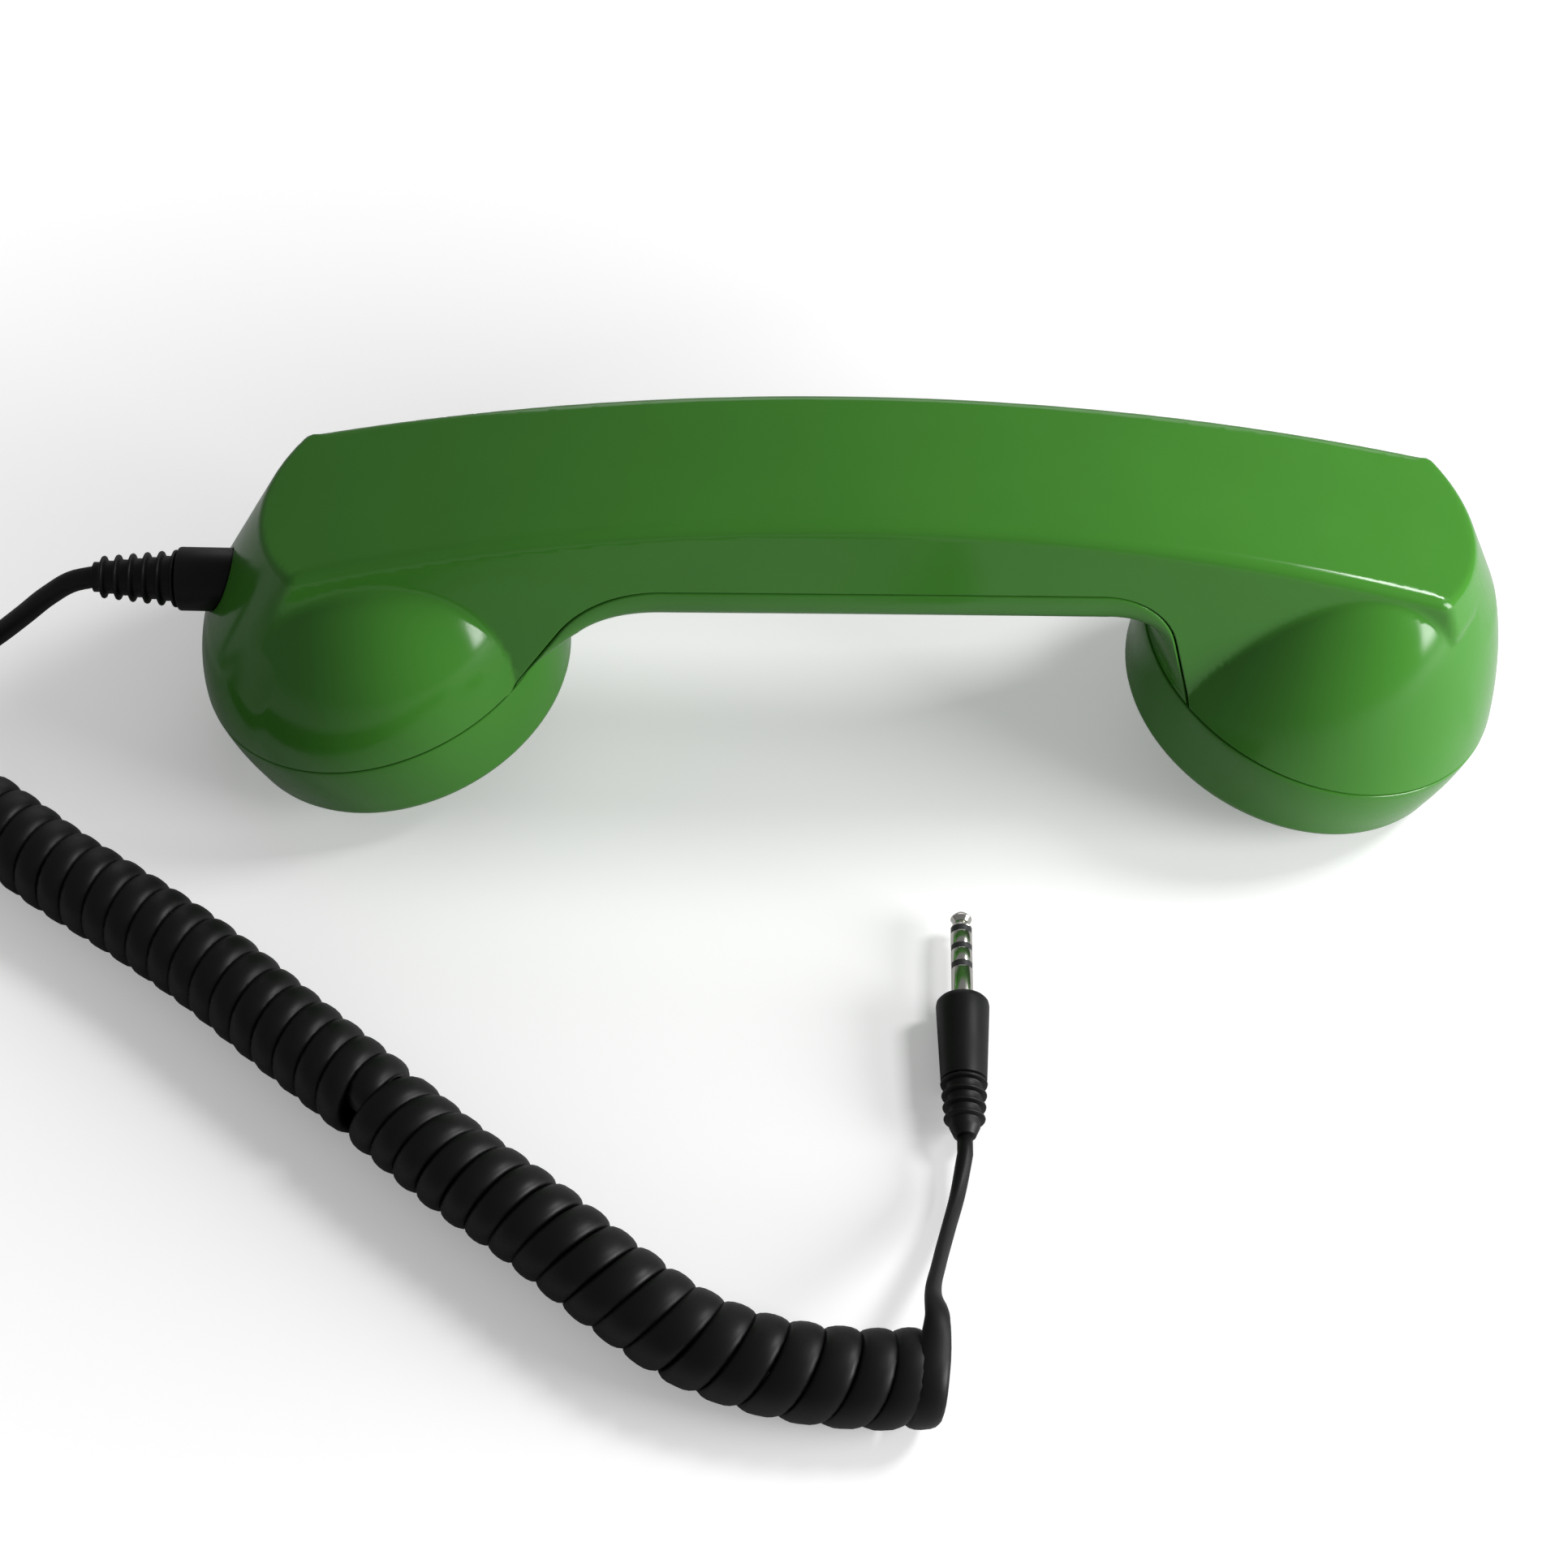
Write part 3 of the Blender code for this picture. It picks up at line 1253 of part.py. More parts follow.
def curly_cord(paint):
    points, axes = curl_strand()
    along = np.gradient(points, axis=0)
    along[1] = along[0]
    along[-2] = along[-1]
    along /= np.linalg.norm(along, axis=1)[:, None]
    wide = axes - (axes * along).sum(axis=1)[:, None] * along
    wide /= np.linalg.norm(wide, axis=1)[:, None]
    thick = np.cross(along, wide)
    section = [(0.5, 0.0), (0.27, 0.5), (-0.27, 0.5), (-0.5, 0.0), (-0.27, -0.5), (0.27, -0.5)]
    rings = np.stack(
        [points + wide * STRIP_WIDTH * w + thick * STRIP_THICKNESS * t for w, t in section], axis=1
    )
    outline = np.concatenate((rings, (rings + np.roll(rings, 1, axis=1)) / 2), axis=1)
    least = 1.0
    for gap in range(POINTS_PER_CURL // 2 + 1, 3 * POINTS_PER_CURL):
        apart = outline[:-gap, :, None] - outline[gap:, None, :]
        least = min(least, float(np.linalg.norm(apart, axis=-1).min()))
    print(f"curly cord: least gap to itself {least * 1000:.2f} mm")
    dress(loft("curly_cord", [ring.tolist() for ring in rings]), paint, math.radians(80))


def cords(paint):
    strand, _ = curl_strand()
    start = np.array((RELIEF_END_X - GAP, 0.0, SEAM_HEIGHT + RELIEF_HEIGHT))
    inward = (strand[1] - strand[0]) / np.linalg.norm(strand[1] - strand[0])
    finish = strand[0] - inward * GAP
    straight = 2 * LEAD_RADIUS
    route = [start - (straight, 0.0, 0.0), *LEAD_ROUTE, finish - inward * straight]
    run = [start, *smooth_curve(route, LEAD_SPACING), finish]
    dress_cord(cord("cord_lead", run, LEAD_RADIUS), paint)

    outward = (strand[-1] - strand[-2]) / np.linalg.norm(strand[-1] - strand[-2])
    start = strand[-1] + outward * GAP
    finish = np.array((PLUG_X, PLUG_FRONT_Y - plug_length() - GAP, PLUG_HEIGHT))
    straight = 2 * PLUG_LEAD_RADIUS
    route = [start + outward * straight, *PLUG_LEAD_ROUTE, finish - (0.0, straight, 0.0)]
    run = [start, *smooth_curve(route, PLUG_LEAD_SPACING), finish]
    dress_cord(cord("plug_lead", run, PLUG_LEAD_RADIUS), paint)


def dress_cord(item, paint):
    item.data.materials.append(paint)
    for spline in item.data.splines:
        spline.use_smooth = True


def in_cup(side, radial, across, height):
    """World place of a point given in a cup's own frame, radial toward the grip."""
    x = -side * radial
    return (
        side * CUP_SPACING / 2 + x * math.cos(CUP_TILT) + side * height * math.sin(CUP_TILT),
        across,
        SEAM_HEIGHT - side * x * math.sin(CUP_TILT) + height * math.cos(CUP_TILT),
    )


def inner_wires(paint, wire_paint):
    board_middle = board_height() + BOARD_THICKNESS / 2
    left = BUTTON_X - BOARD_LENGTH / 2 - GAP
    right = BUTTON_X + BOARD_LENGTH / 2 + GAP
    height = SEAM_HEIGHT + RELIEF_HEIGHT
    inside = WALL + RELIEF_FLANGE_THICKNESS + CABLE_RADIUS
    foot = (relief_wall(0.0, height) + inside, 0.0, height)
    route = [foot, *CABLE_ROUTE, (left, SWITCH_SIZE, board_middle)]
    dress_cord(cord("inner_cable", smooth_curve(route, CABLE_SPACING), CABLE_RADIUS), paint)

    capsule_top = BELOW_PLATE - HOLDER_FLANGE + CAPSULE_LENGTH
    foot = in_cup(MOUTH, 0.0, 0.0, capsule_top + GAP)
    above = in_cup(MOUTH, 0.0, 0.0, capsule_top + 3 * HOLDER_FLANGE)
    route = [foot, above, *MIC_WIRE_ROUTE, (left, -SWITCH_SIZE, board_middle)]
    dress_cord(cord("mic_wire", smooth_curve(route, WIRE_SPACING), WIRE_RADIUS), wire_paint)

    back = BELOW_PLATE + BASKET_HEIGHT + GAP + MAGNET_THICKNESS
    foot = in_cup(EAR, 0.0, 0.0, back + GAP)
    above = in_cup(EAR, 0.0, 0.0, back + 2 * WALL)
    route = [(right, -SWITCH_SIZE, board_middle), *SPEAKER_WIRE_ROUTE, above, foot]
    dress_cord(cord("speaker_wire", smooth_curve(route, WIRE_SPACING), WIRE_RADIUS), wire_paint)


# ---------------------------------------------------------------- the whole handset
def build():
    clear_scene()
    green = make_material("green_gloss", (0.055, 0.240, 0.022), 0.22)
    black = make_material("black_rubber", (0.012, 0.012, 0.013), 0.55)
    paints = {
        "black": black,
        "dark": make_material("dark_plastic", (0.030, 0.030, 0.032), 0.45),
        "felt": make_material("grey_felt", (0.090, 0.090, 0.095), 0.95),
        "paper": make_material("cone_paper", (0.110, 0.100, 0.090), 0.85),
        "steel": make_material("zinc_steel", (0.560, 0.570, 0.580), 0.35, 1.0),
        "chrome": make_material("nickel_plate", (0.720, 0.700, 0.660), 0.18, 1.0),
        "board": make_material("board_green", (0.020, 0.140, 0.060), 0.40),
        "copper": make_material("red_wire", (0.420, 0.030, 0.025), 0.50),
    }
    frames = {side: cup_frame(side) for side in SIDES}
    handle_shell(frames, green)
    inner_cover(frames, green)
    cup_screw = screw_mesh(SCREW_LENGTH)
    holes = {EAR: BASKET_RADIUS + GAP, MOUTH: holder_radius() + GAP}
    carriers = {EAR: "speaker_carrier", MOUTH: "mic_carrier"}
    for side in SIDES:
        screw_cap(side, frames[side], green)
        felt_disc(side, frames[side], paints["felt"])
        carrier(carriers[side], side, holes[side], frames[side], paints["dark"])
        cup_screws(side, frames[side], cup_screw, paints["steel"])
    earpiece(frames[EAR], paints)
    mouthpiece(frames[MOUTH], paints)
    answer_button(green)
    key_switch(paints["dark"])
    circuit_board(paints["board"], paints["steel"], screw_mesh(BOARD_SCREW_LENGTH))
    ballast(paints["steel"], paints["steel"], screw_mesh(BALLAST_SCREW_LENGTH))
    strain_relief(black)
    frame = plug_frame()
    plug_body(frame, black)
    plug_pin(frame, paints)
    cords(black)
    curly_cord(black)
    inner_wires(black, paints["copper"])


build()
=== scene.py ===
"""Looks of the corded telephone handset: smooth glossy shell, screw caps, curly cord and plug.

Lengths inside the helpers are millimetres; every mesh is scaled to metres when it is made.
"""
import math

import bmesh
import bpy
import numpy as np
from mathutils import Matrix, Vector


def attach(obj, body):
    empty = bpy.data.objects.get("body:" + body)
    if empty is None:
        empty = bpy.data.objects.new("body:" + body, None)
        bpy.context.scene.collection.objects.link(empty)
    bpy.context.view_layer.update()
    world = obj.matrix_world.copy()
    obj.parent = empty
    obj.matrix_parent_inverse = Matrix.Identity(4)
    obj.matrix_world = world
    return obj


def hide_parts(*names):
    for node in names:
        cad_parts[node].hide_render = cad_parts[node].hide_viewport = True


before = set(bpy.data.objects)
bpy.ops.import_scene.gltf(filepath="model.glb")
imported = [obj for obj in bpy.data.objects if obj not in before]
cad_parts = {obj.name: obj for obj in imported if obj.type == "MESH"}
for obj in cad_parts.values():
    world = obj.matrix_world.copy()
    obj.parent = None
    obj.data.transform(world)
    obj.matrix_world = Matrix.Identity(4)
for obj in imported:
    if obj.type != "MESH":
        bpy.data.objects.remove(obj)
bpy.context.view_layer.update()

MM = 0.001
MOUTH, EAR = -1, 1
SIDES = (MOUTH, EAR)
CUP_NAMES = {MOUTH: "mouth", EAR: "ear"}

# ---- sizes of the handset and plug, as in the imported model; the ribs are cut a little deeper here
CUP_SPACING = 158.2
TILT = math.radians(14.3)
SEAM_HEIGHT = 21.1427
SEAM_RADIUS = 31.2
BULB_LEAN = {MOUTH: 0.0, EAR: 0.27}
BULB_ROUNDING = {MOUTH: 30.7, EAR: 65.8}
BULB_SHIFT = {MOUTH: 0.21, EAR: 0.03}
TOP_HEIGHT = 64.2
TOP_CENTRE_X = 2.3
ARCH_REACH = 92.7
ARCH_DROP = 13.7
TOP_HALF_WIDTH = 14.6
TOP_FLARE = 1.7
SIDE_DRAFT = 0.09
TOP_FILLET = 2.3
END_TOP_X = {MOUTH: -95.4, EAR: 100.0}
END_TOP_RADIUS = 26.8
KNEE_X = {MOUTH: -107.2, EAR: 105.8}
KNEE_HEIGHT = {MOUTH: 27.0, EAR: 36.0}
KNEE_RADIUS = {MOUTH: 30.4, EAR: 26.2}
SLAB_RISE = 8.0  # above the knee, where the slab's end is taken
SLAB_EDGE = 2.0
CREASE = (0.8, 2.7)  # fillet between the bulbs and the grip, low and high up
CREASE_HEIGHTS = (34.0, 46.0)
END_CREASE = 7.0  # what it gains toward the mouth bulb's outer end
END_CREASE_REACH = (6.0, 22.0)
END_FILLET = 20.0  # what the end walls' edge gains going down
END_FILLET_DROP = 26.0
END_WIDENING = 14.0  # what the end walls' radius gains past END_OPENING
END_OPENING = (math.radians(48), math.radians(90))
PARTING_START_X = {MOUTH: -54.9, EAR: 55.4}
INNER_WALL_LEAN = {MOUTH: math.radians(32.5), EAR: math.radians(14.6)}
INNER_WALL_FILLET = {MOUTH: 20.0, EAR: 12.5}
EDGE_HEIGHT = 49.75
EDGE_RISE = 0.0165
CROWN_DEPTH = 9.9
CROWN_POWER = 3.0
RELIEF_HEIGHT = 31.9
RELIEF_COLLAR_END = 111.2
RELIEF_END = 125.5
RELIEF_SIDES = 64
RELIEF_HOLE_RADIUS = 5.55
RELIEF_RIBS = 6
RELIEF_CRESTS = (4.8, 3.55)  # radius of the first and the last rib
RELIEF_GROOVE = 1.05
RIB_PROFILE = (  # share of a pitch, then share of the groove's depth
    (0.06, 0.8), (0.10, 0.35), (0.16, 0.08), (0.24, 0.0), (0.34, 0.08), (0.40, 0.35), (0.46, 0.9),
    (0.56, 1.0), (0.94, 1.0),
)
BUTTON_RADIUS = 5.5
COVER_WALL = 2.2
COVER_LAND = 3.0
COVER_SAMPLES = 41
CAP_DEPTH = 14.9
CAP_TAPER = 1.3
CAP_CORNER = 3.0
CAP_RIM_WIDTH = 2.4
CAP_FACE_DROP = 1.0
CAP_FACE_WALL = 2.0
CAP_BORE_CLEARANCE = 0.4
CAP_BORE_DEPTH = 9.5
SOUND_HOLE_RADIUS = 1.2
SOUND_HOLE_MOUTH = 1.5
NECK_RADIUS = 28.3
NECK_BORE = 26.0
NECK_LENGTH = 8.0
LEDGE_RADIUS = 29.6
LEDGE_BORE = 21.0
LEDGE_HEIGHTS = (0.2, 2.7)
THREAD_PITCH = 3.0
THREAD_START = 1.2  # below the seam
THREAD_LENGTH = 5.8
THREAD_STEPS = 120
SOUND_RINGS = {MOUTH: ((6.0, 6),), EAR: ((6.0, 6), (11.5, 8))}
PLUG = (19.2, -62.0, 4.4)  # middle of the plug's front face; the pin points along +Y
PLUG_BODY_LENGTH = 15.0
PLUG_RIBS = 4
PLUG_RIB_PITCH = 2.1
PLUG_CRESTS = (3.75, 3.3)
PLUG_GROOVE = 0.85
PIN_BORE = 0.85
PIN_RADIUS = 1.75
PIN_CORE_RADIUS = 0.8
PIN_METAL = (("pin_sleeve", -1.2, 5.9), ("pin_ring_1", 7.0, 9.4), ("pin_ring_2", 10.4, 12.8))
PIN_COLLARS = ((5.95, 6.95), (9.45, 10.35), (12.85, 13.85))

# ---- edges and meshing of the visual shell
SHELL_BOX = ((-114.0, -34.0, 8.0), (114.0, 34.2, 66.0))
SHELL_PITCH = 1.0
HALVINGS = 40
SHELL_WALL = 1.7
SEAM_GAP = 0.12
LIP = 0.28
LIP_TURNS = [math.pi / 2 * k / 3 for k in (1, 2, 3)]

# ---- cord
CURLS_BEFORE = 24  # curls of one hand, from the handset
CURLS_AFTER = 18.5  # curls of the other hand, to the plug
CURL_POINTS = 24
CURL_RADIUS = 6.1
CURL_HEIGHT = 7.4
CURL_OPENING = 0.19  # the pulled curls stand this much farther apart
CURL_SWELL = 0.14  # and their strip is this much wider
CURL_LEAN = 2.2  # the last curls lean toward the plug by this much at their top
STRIP_WIDTH = 4.95
STRIP_THICKNESS = 2.6
STRIP_POINTS = 16
STRIP_ROUNDNESS = 0.92
LEAD_THICKNESS = 3.5  # of the round lead at the strain relief
LEAD_SEAT = 1.5  # how far it goes into the strain relief
LEAD_SPACING = 1.1
PLUG_LEAD_WIDTH = 3.7
PLUG_LEAD_THICKNESS = 2.0
PLUG_LEAD_TWIST = math.radians(80)  # it turns onto its edge
PLUG_LEAD_END = (2.5, 23.5)  # thickness in the plug's boot, distance behind the plug's front
LEAD_ROUTE = (
    (-128.9, 0.0, 30.8), (-133.9, 0.0, 27.0), (-139.1, 0.0, 21.8), (-144.2, 0.0, 16.8),
    (-150.2, -0.2, 11.7), (-155.8, -2.2, 9.8),
)
CURL_ROUTE = (
    (-166.5, -17.2), (-153.0, -25.0), (-139.6, -34.2), (-128.7, -42.3), (-115.4, -50.9),
    (-102.7, -59.8), (-86.8, -72.9), (-73.2, -83.9), (-58.2, -96.5), (-46.5, -105.0),
    (-31.5, -117.0), (-21.9, -123.5), (-10.6, -127.7), (3.1, -129.5), (13.6, -129.2),
)
PLUG_LEAD_ROUTE = (
    (13.8, -116.8, 10.9), (14.9, -110.2, 7.6), (16.4, -103.4, 5.0), (18.0, -96.6, 3.7),
)

# ---- light levels
WHITE = (1.0, 1.0, 1.0, 1.0)
FLOOR_PAINTED_GLOW = (0.10, 0.40, 0.24, 0.9)  # distances in metres, then the painted glow added to the floor for the camera at each; it is weak near the handset and strong farther out, so the floor near the handset shows darker
FLOOR_BOUNCE = 0.60
ROOM_DIFFUSE = 0.22
ROOM_GLOSSY = 0.20
KEY_WATTS = 1.9
WINDOW_WATTS = 3.0
BACK_WATTS = 1.5


# ---- camera
def add_camera():
    """Camera fitted to the photograph; its place is in millimetres."""
    data = bpy.data.cameras.new("camera")
    data.sensor_fit = "HORIZONTAL"
    data.sensor_width = 36.0
    data.lens = 67.255
    data.clip_start = 0.01
    data.clip_end = 20.0
    camera = bpy.data.objects.new("camera", data)
    right = Vector((0.99974, 0.02182, 0.00724))
    up = Vector((-0.02178, 0.79838, 0.60176))
    back = -Vector((-0.00735, 0.60176, -0.79865))
    turn = Matrix((right, up, back)).transposed().to_4x4()
    camera.matrix_world = Matrix.Translation(Vector((-6.71, -317.34, 400.12)) * MM) @ turn
    bpy.context.scene.collection.objects.link(camera)
    bpy.context.scene.camera = camera


# ---- mesh helpers
def new_mesh(name, points, faces, smooth=True):
    """Mesh object from points in millimetres."""
    data = bpy.data.meshes.new(name)
    data.from_pydata((np.asarray(points, float) * MM).tolist(), [], [list(map(int, f)) for f in faces])
    data.validate()
    if smooth:
        data.shade_smooth()
    made = bpy.data.objects.new(name, data)
    bpy.context.scene.collection.objects.link(made)
    return made


def recalc(item):
    """Turn all faces outward."""
    shape = bmesh.new()
    shape.from_mesh(item.data)
    bmesh.ops.recalc_face_normals(shape, faces=shape.faces)
    shape.to_mesh(item.data)
    shape.free()
    return item


def sharpen(item, degrees=32):
    item.data.shade_smooth()
    item.data.set_sharp_from_angle(angle=math.radians(degrees))
    return item


def round_outline(outline, radius=0.25, steps=3, keep=()):
    """Round the corners of a closed (r, h) outline, except those on the axis."""
    result = []
    count = len(outline)
    for i, corner in enumerate(outline):
        here = np.array(corner, float)
        if i in keep or here[0] < 1e-6:
            result.append(tuple(here))
            continue
        back = np.array(outline[i - 1], float) - here
        ahead = np.array(outline[(i + 1) % count], float) - here
        lengths = np.linalg.norm(back), np.linalg.norm(ahead)
        if min(lengths) < 1e-6:
            continue
        back, ahead = back / lengths[0], ahead / lengths[1]
        bend = math.acos(float(np.clip(back @ ahead, -1, 1)))
        if bend > math.radians(165):
            result.append(tuple(here))
            continue
        reach = min(radius / math.tan(bend / 2), 0.45 * lengths[0], 0.45 * lengths[1])
        for k in range(steps + 1):
            t = k / steps
            result.append(tuple(here + back * reach * (1 - t) ** 2 + ahead * reach * t ** 2))
    return result


def turned(name, outline, segments=96):
    """Turn a closed (r, h) outline around Z, in millimetres."""
    points, rows = [], []
    for radius, height in outline:
        if radius < 1e-6:
            rows.append([len(points)] * segments)
            points.append((0.0, 0.0, height))
            continue
        rows.append(list(range(len(points), len(points) + segments)))
        for k in range(segments):
            angle = math.tau * (k + 0.5) / segments
            points.append((radius * math.cos(angle), radius * math.sin(angle), height))
    faces = []
    for i, row in enumerate(rows):
        after = rows[(i + 1) % len(rows)]
        for k in range(segments):
            step = (k + 1) % segments
            corners = list(dict.fromkeys((row[k], row[step], after[step], after[k])))
            if len(corners) > 2:
                faces.append(corners)
    return recalc(new_mesh(name, points, faces))


def cup_frame(side):
    """Middle of a seam, the way up from it and the way across it toward the grip."""
    middle = np.array((side * CUP_SPACING / 2, 0.0, SEAM_HEIGHT))
    axis = np.array((side * math.sin(TILT), 0.0, math.cos(TILT)))
    return middle, axis, np.array((-side * math.cos(TILT), 0.0, math.sin(TILT)))


def cup_matrix(side):
    place = Matrix.Translation(Vector((side * CUP_SPACING / 2, 0.0, SEAM_HEIGHT)) * MM)
    return place @ Matrix.Rotation(side * TILT, 4, "Y")


def put(item, matrix):
    item.data.transform(matrix)
    item.data.update()
    return item


def smooth_curve(route, spacing):
    """Evenly spaced points on a smooth curve through the route."""
    knots = np.array(route, float)
    marks = run_length(knots)
    slopes = np.gradient(knots, marks, axis=0)
    dense = [knots[0]]
    for i in range(len(knots) - 1):
        span = marks[i + 1] - marks[i]
        for t in np.linspace(0.0, 1.0, 17)[1:]:
            start = (1 + 2 * t) * (1 - t) ** 2 * knots[i] + t * (1 - t) ** 2 * span * slopes[i]
            finish = t * t * (3 - 2 * t) * knots[i + 1] - t * t * (1 - t) * span * slopes[i + 1]
            dense.append(start + finish)
    dense = np.array(dense)
    run = run_length(dense)
    steps = max(2, round(run[-1] / spacing))
    places = np.linspace(0.0, run[-1], steps + 1)
    return np.stack([np.interp(places, run, dense[:, k]) for k in range(dense.shape[1])], axis=1)


def run_length(points):
    """Distance along a line at each of its points."""
    return np.concatenate(([0.0], np.cumsum(np.linalg.norm(np.diff(points, axis=0), axis=1))))


def mix(first, last, share):
    return first + (last - first) * share


def ease(value, low, high):
    """Smooth step from 0 to 1 between two limits."""
    t = np.clip((value - low) / (high - low), 0, 1)
    return t * t * (3 - 2 * t)


def unit(vectors):
    return vectors / np.maximum(np.linalg.norm(vectors, axis=-1, keepdims=True), 1e-12)


# ---- distance fields of the shell
# Each field returns the signed distance to its surface and the unit normal, in millimetres.
def arch(x):
    return TOP_HEIGHT - ARCH_DROP * ((x - TOP_CENTRE_X) / ARCH_REACH) ** 2


def arch_slope(x):
    return -2 * ARCH_DROP * (x - TOP_CENTRE_X) / ARCH_REACH ** 2


def half_width(x, z):
    return TOP_HALF_WIDTH + TOP_FLARE * ((x - TOP_CENTRE_X) / ARCH_REACH) ** 2 + SIDE_DRAFT * (arch(x) - z)


def top_field(p):
    x, y, z = p.T
    slope = arch_slope(x)
    size = np.sqrt(1 + slope ** 2)
    return (z - arch(x)) / size, np.stack((-slope, np.zeros_like(x), np.ones_like(x)), 1) / size[:, None]


def side_field(p):
    x, y, z = p.T
    flare_slope = 2 * TOP_FLARE * (x - TOP_CENTRE_X) / ARCH_REACH ** 2 + SIDE_DRAFT * arch_slope(x)
    normal = np.stack((-flare_slope, np.where(y < 0, -1.0, 1.0), np.full_like(x, SIDE_DRAFT)), 1)
    size = np.linalg.norm(normal, axis=1)
    return (np.abs(y) - half_width(x, z)) / size, normal / size[:, None]


def end_arc(side, z):
    """Centre, radius and lean of an end wall at a height."""
    top = arch(END_TOP_X[side])
    drop = top - KNEE_HEIGHT[side]
    share = (top - z) / drop
    reach = mix(END_TOP_X[side], KNEE_X[side], share)
    radius = mix(END_TOP_RADIUS, KNEE_RADIUS[side], share)
    lean = side * (KNEE_X[side] - END_TOP_X[side]) / drop
    return reach - side * radius, radius, lean


def end_field(p, side):
    """End wall: a leaning conical wall that opens out away from the middle plane."""
    x, y, z = p.T
    centre, radius, lean = end_arc(side, z)
    out = np.maximum(side * (x - centre), 0.0)
    flat = np.hypot(out, y)
    angle = np.arctan2(np.abs(y), np.maximum(out, 1e-6))
    radius = radius + END_WIDENING * ease(angle, *END_OPENING)
    size = math.sqrt(1 + lean ** 2)
    flat_safe = np.maximum(flat, 1e-6)
    normal = np.stack((side * out / flat_safe, y / flat_safe, np.full_like(x, lean)), 1) / size
    return (flat - radius) / size, normal


def slab_end_field(p, side):
    """Upright wall that keeps the grip's slab inside the bulb below the knee."""
    x, y, z = p.T
    centre, radius, _ = end_arc(side, KNEE_HEIGHT[side] + SLAB_RISE)
    out = np.maximum(side * (x - centre), 0.0)
    flat = np.maximum(np.hypot(out, y), 1e-6)
    return flat - radius, np.stack((side * out / flat, y / flat, np.zeros_like(x)), 1)


def bulb_field(p, side):
    """Round bulb on the tilted seam circle; its centres move toward the grip going up."""
    middle, axis, inner = cup_frame(side)
    off = p - middle
    height = off @ axis
    above = np.maximum(height, 0.0)
    across = off @ inner - BULB_SHIFT[side] * height
    y = p[:, 1]
    closing = 2 * BULB_LEAN[side] * height / SEAM_RADIUS + (above / BULB_ROUNDING[side]) ** 2
    slope = 2 * BULB_LEAN[side] / SEAM_RADIUS + 2 * above / BULB_ROUNDING[side] ** 2
    value = (across ** 2 + y ** 2) / SEAM_RADIUS ** 2 - 1 + closing
    gradient = (
        (2 * across / SEAM_RADIUS ** 2)[:, None] * (inner - BULB_SHIFT[side] * axis)
        + slope[:, None] * axis
        + (2 * y / SEAM_RADIUS ** 2)[:, None] * np.array((0.0, 1.0, 0.0))
    )
    size = np.maximum(np.linalg.norm(gradient, axis=1), 1e-6)
    return value / size, gradient / size[:, None]


def both(a, b, radius):
    """Intersection of two fields, with their edge rolled over by a ball of that radius."""
    (da, na), (db, nb) = a, b
    lean = np.clip((na * nb).sum(1), -0.9999, 0.9999)
    spread = 1 - lean ** 2
    u, v = da + radius, db + radius
    share_a = (u - lean * v) / spread
    share_b = (v - lean * u) / spread
    rolled = (share_a > 0) & (share_b > 0) & (spread > 1e-3)
    size = np.sqrt(np.maximum(u * u + v * v - 2 * lean * u * v, 1e-12) / spread)
    value = np.where(rolled, size - radius, np.maximum(da, db))
    blended = unit(na * share_a[:, None] + nb * share_b[:, None])
    normal = np.where(rolled[:, None], blended, np.where((da > db)[:, None], na, nb))
    return value, normal


def either(a, b, radius):
    """Union of two fields, with their corner filled by a ball of that radius."""
    value, normal = both((-a[0], -a[1]), (-b[0], -b[1]), radius)
    return -value, -normal


def shell_field(p):
    """Outside of the whole handset above the parting line."""
    z = p[:, 2]
    body = side_field(p)
    for side in SIDES:
        body = both(body, slab_end_field(p, side), SLAB_EDGE)
    for side in SIDES:
        crease = mix(*CREASE, ease(z, *CREASE_HEIGHTS))
        if side == MOUTH:
            crease = crease + END_CREASE * ease(-p[:, 0] - CUP_SPACING / 2, *END_CREASE_REACH)
        body = either(body, bulb_field(p, side), crease)
    for side in SIDES:
        below = arch(END_TOP_X[side]) - z
        fillet = TOP_FILLET + END_FILLET * ease(below, 0.0, END_FILLET_DROP)
        body = both(body, end_field(p, side), fillet)
    return both(body, top_field(p), TOP_FILLET)


# ---- side view of the parting line
def seam_line(x):
    return SEAM_HEIGHT + (CUP_SPACING / 2 - np.abs(x)) * math.tan(TILT)


def arc_points(corner, back, ahead, radius, steps):
    """Fillet between the two directions that leave a corner."""
    inner = math.acos(max(-1.0, min(1.0, float(back @ ahead)))) / 2
    reach = radius / math.tan(inner)
    middle = corner + (back + ahead) / np.linalg.norm(back + ahead) * radius / math.sin(inner)
    first, last = corner + back * reach - middle, corner + ahead * reach - middle
    sweep = math.acos(float(first @ last) / radius ** 2)
    return [
        middle + (first * math.sin((1 - t) * sweep) + last * math.sin(t * sweep)) / math.sin(sweep)
        for t in np.linspace(0, 1, steps + 1)
    ]


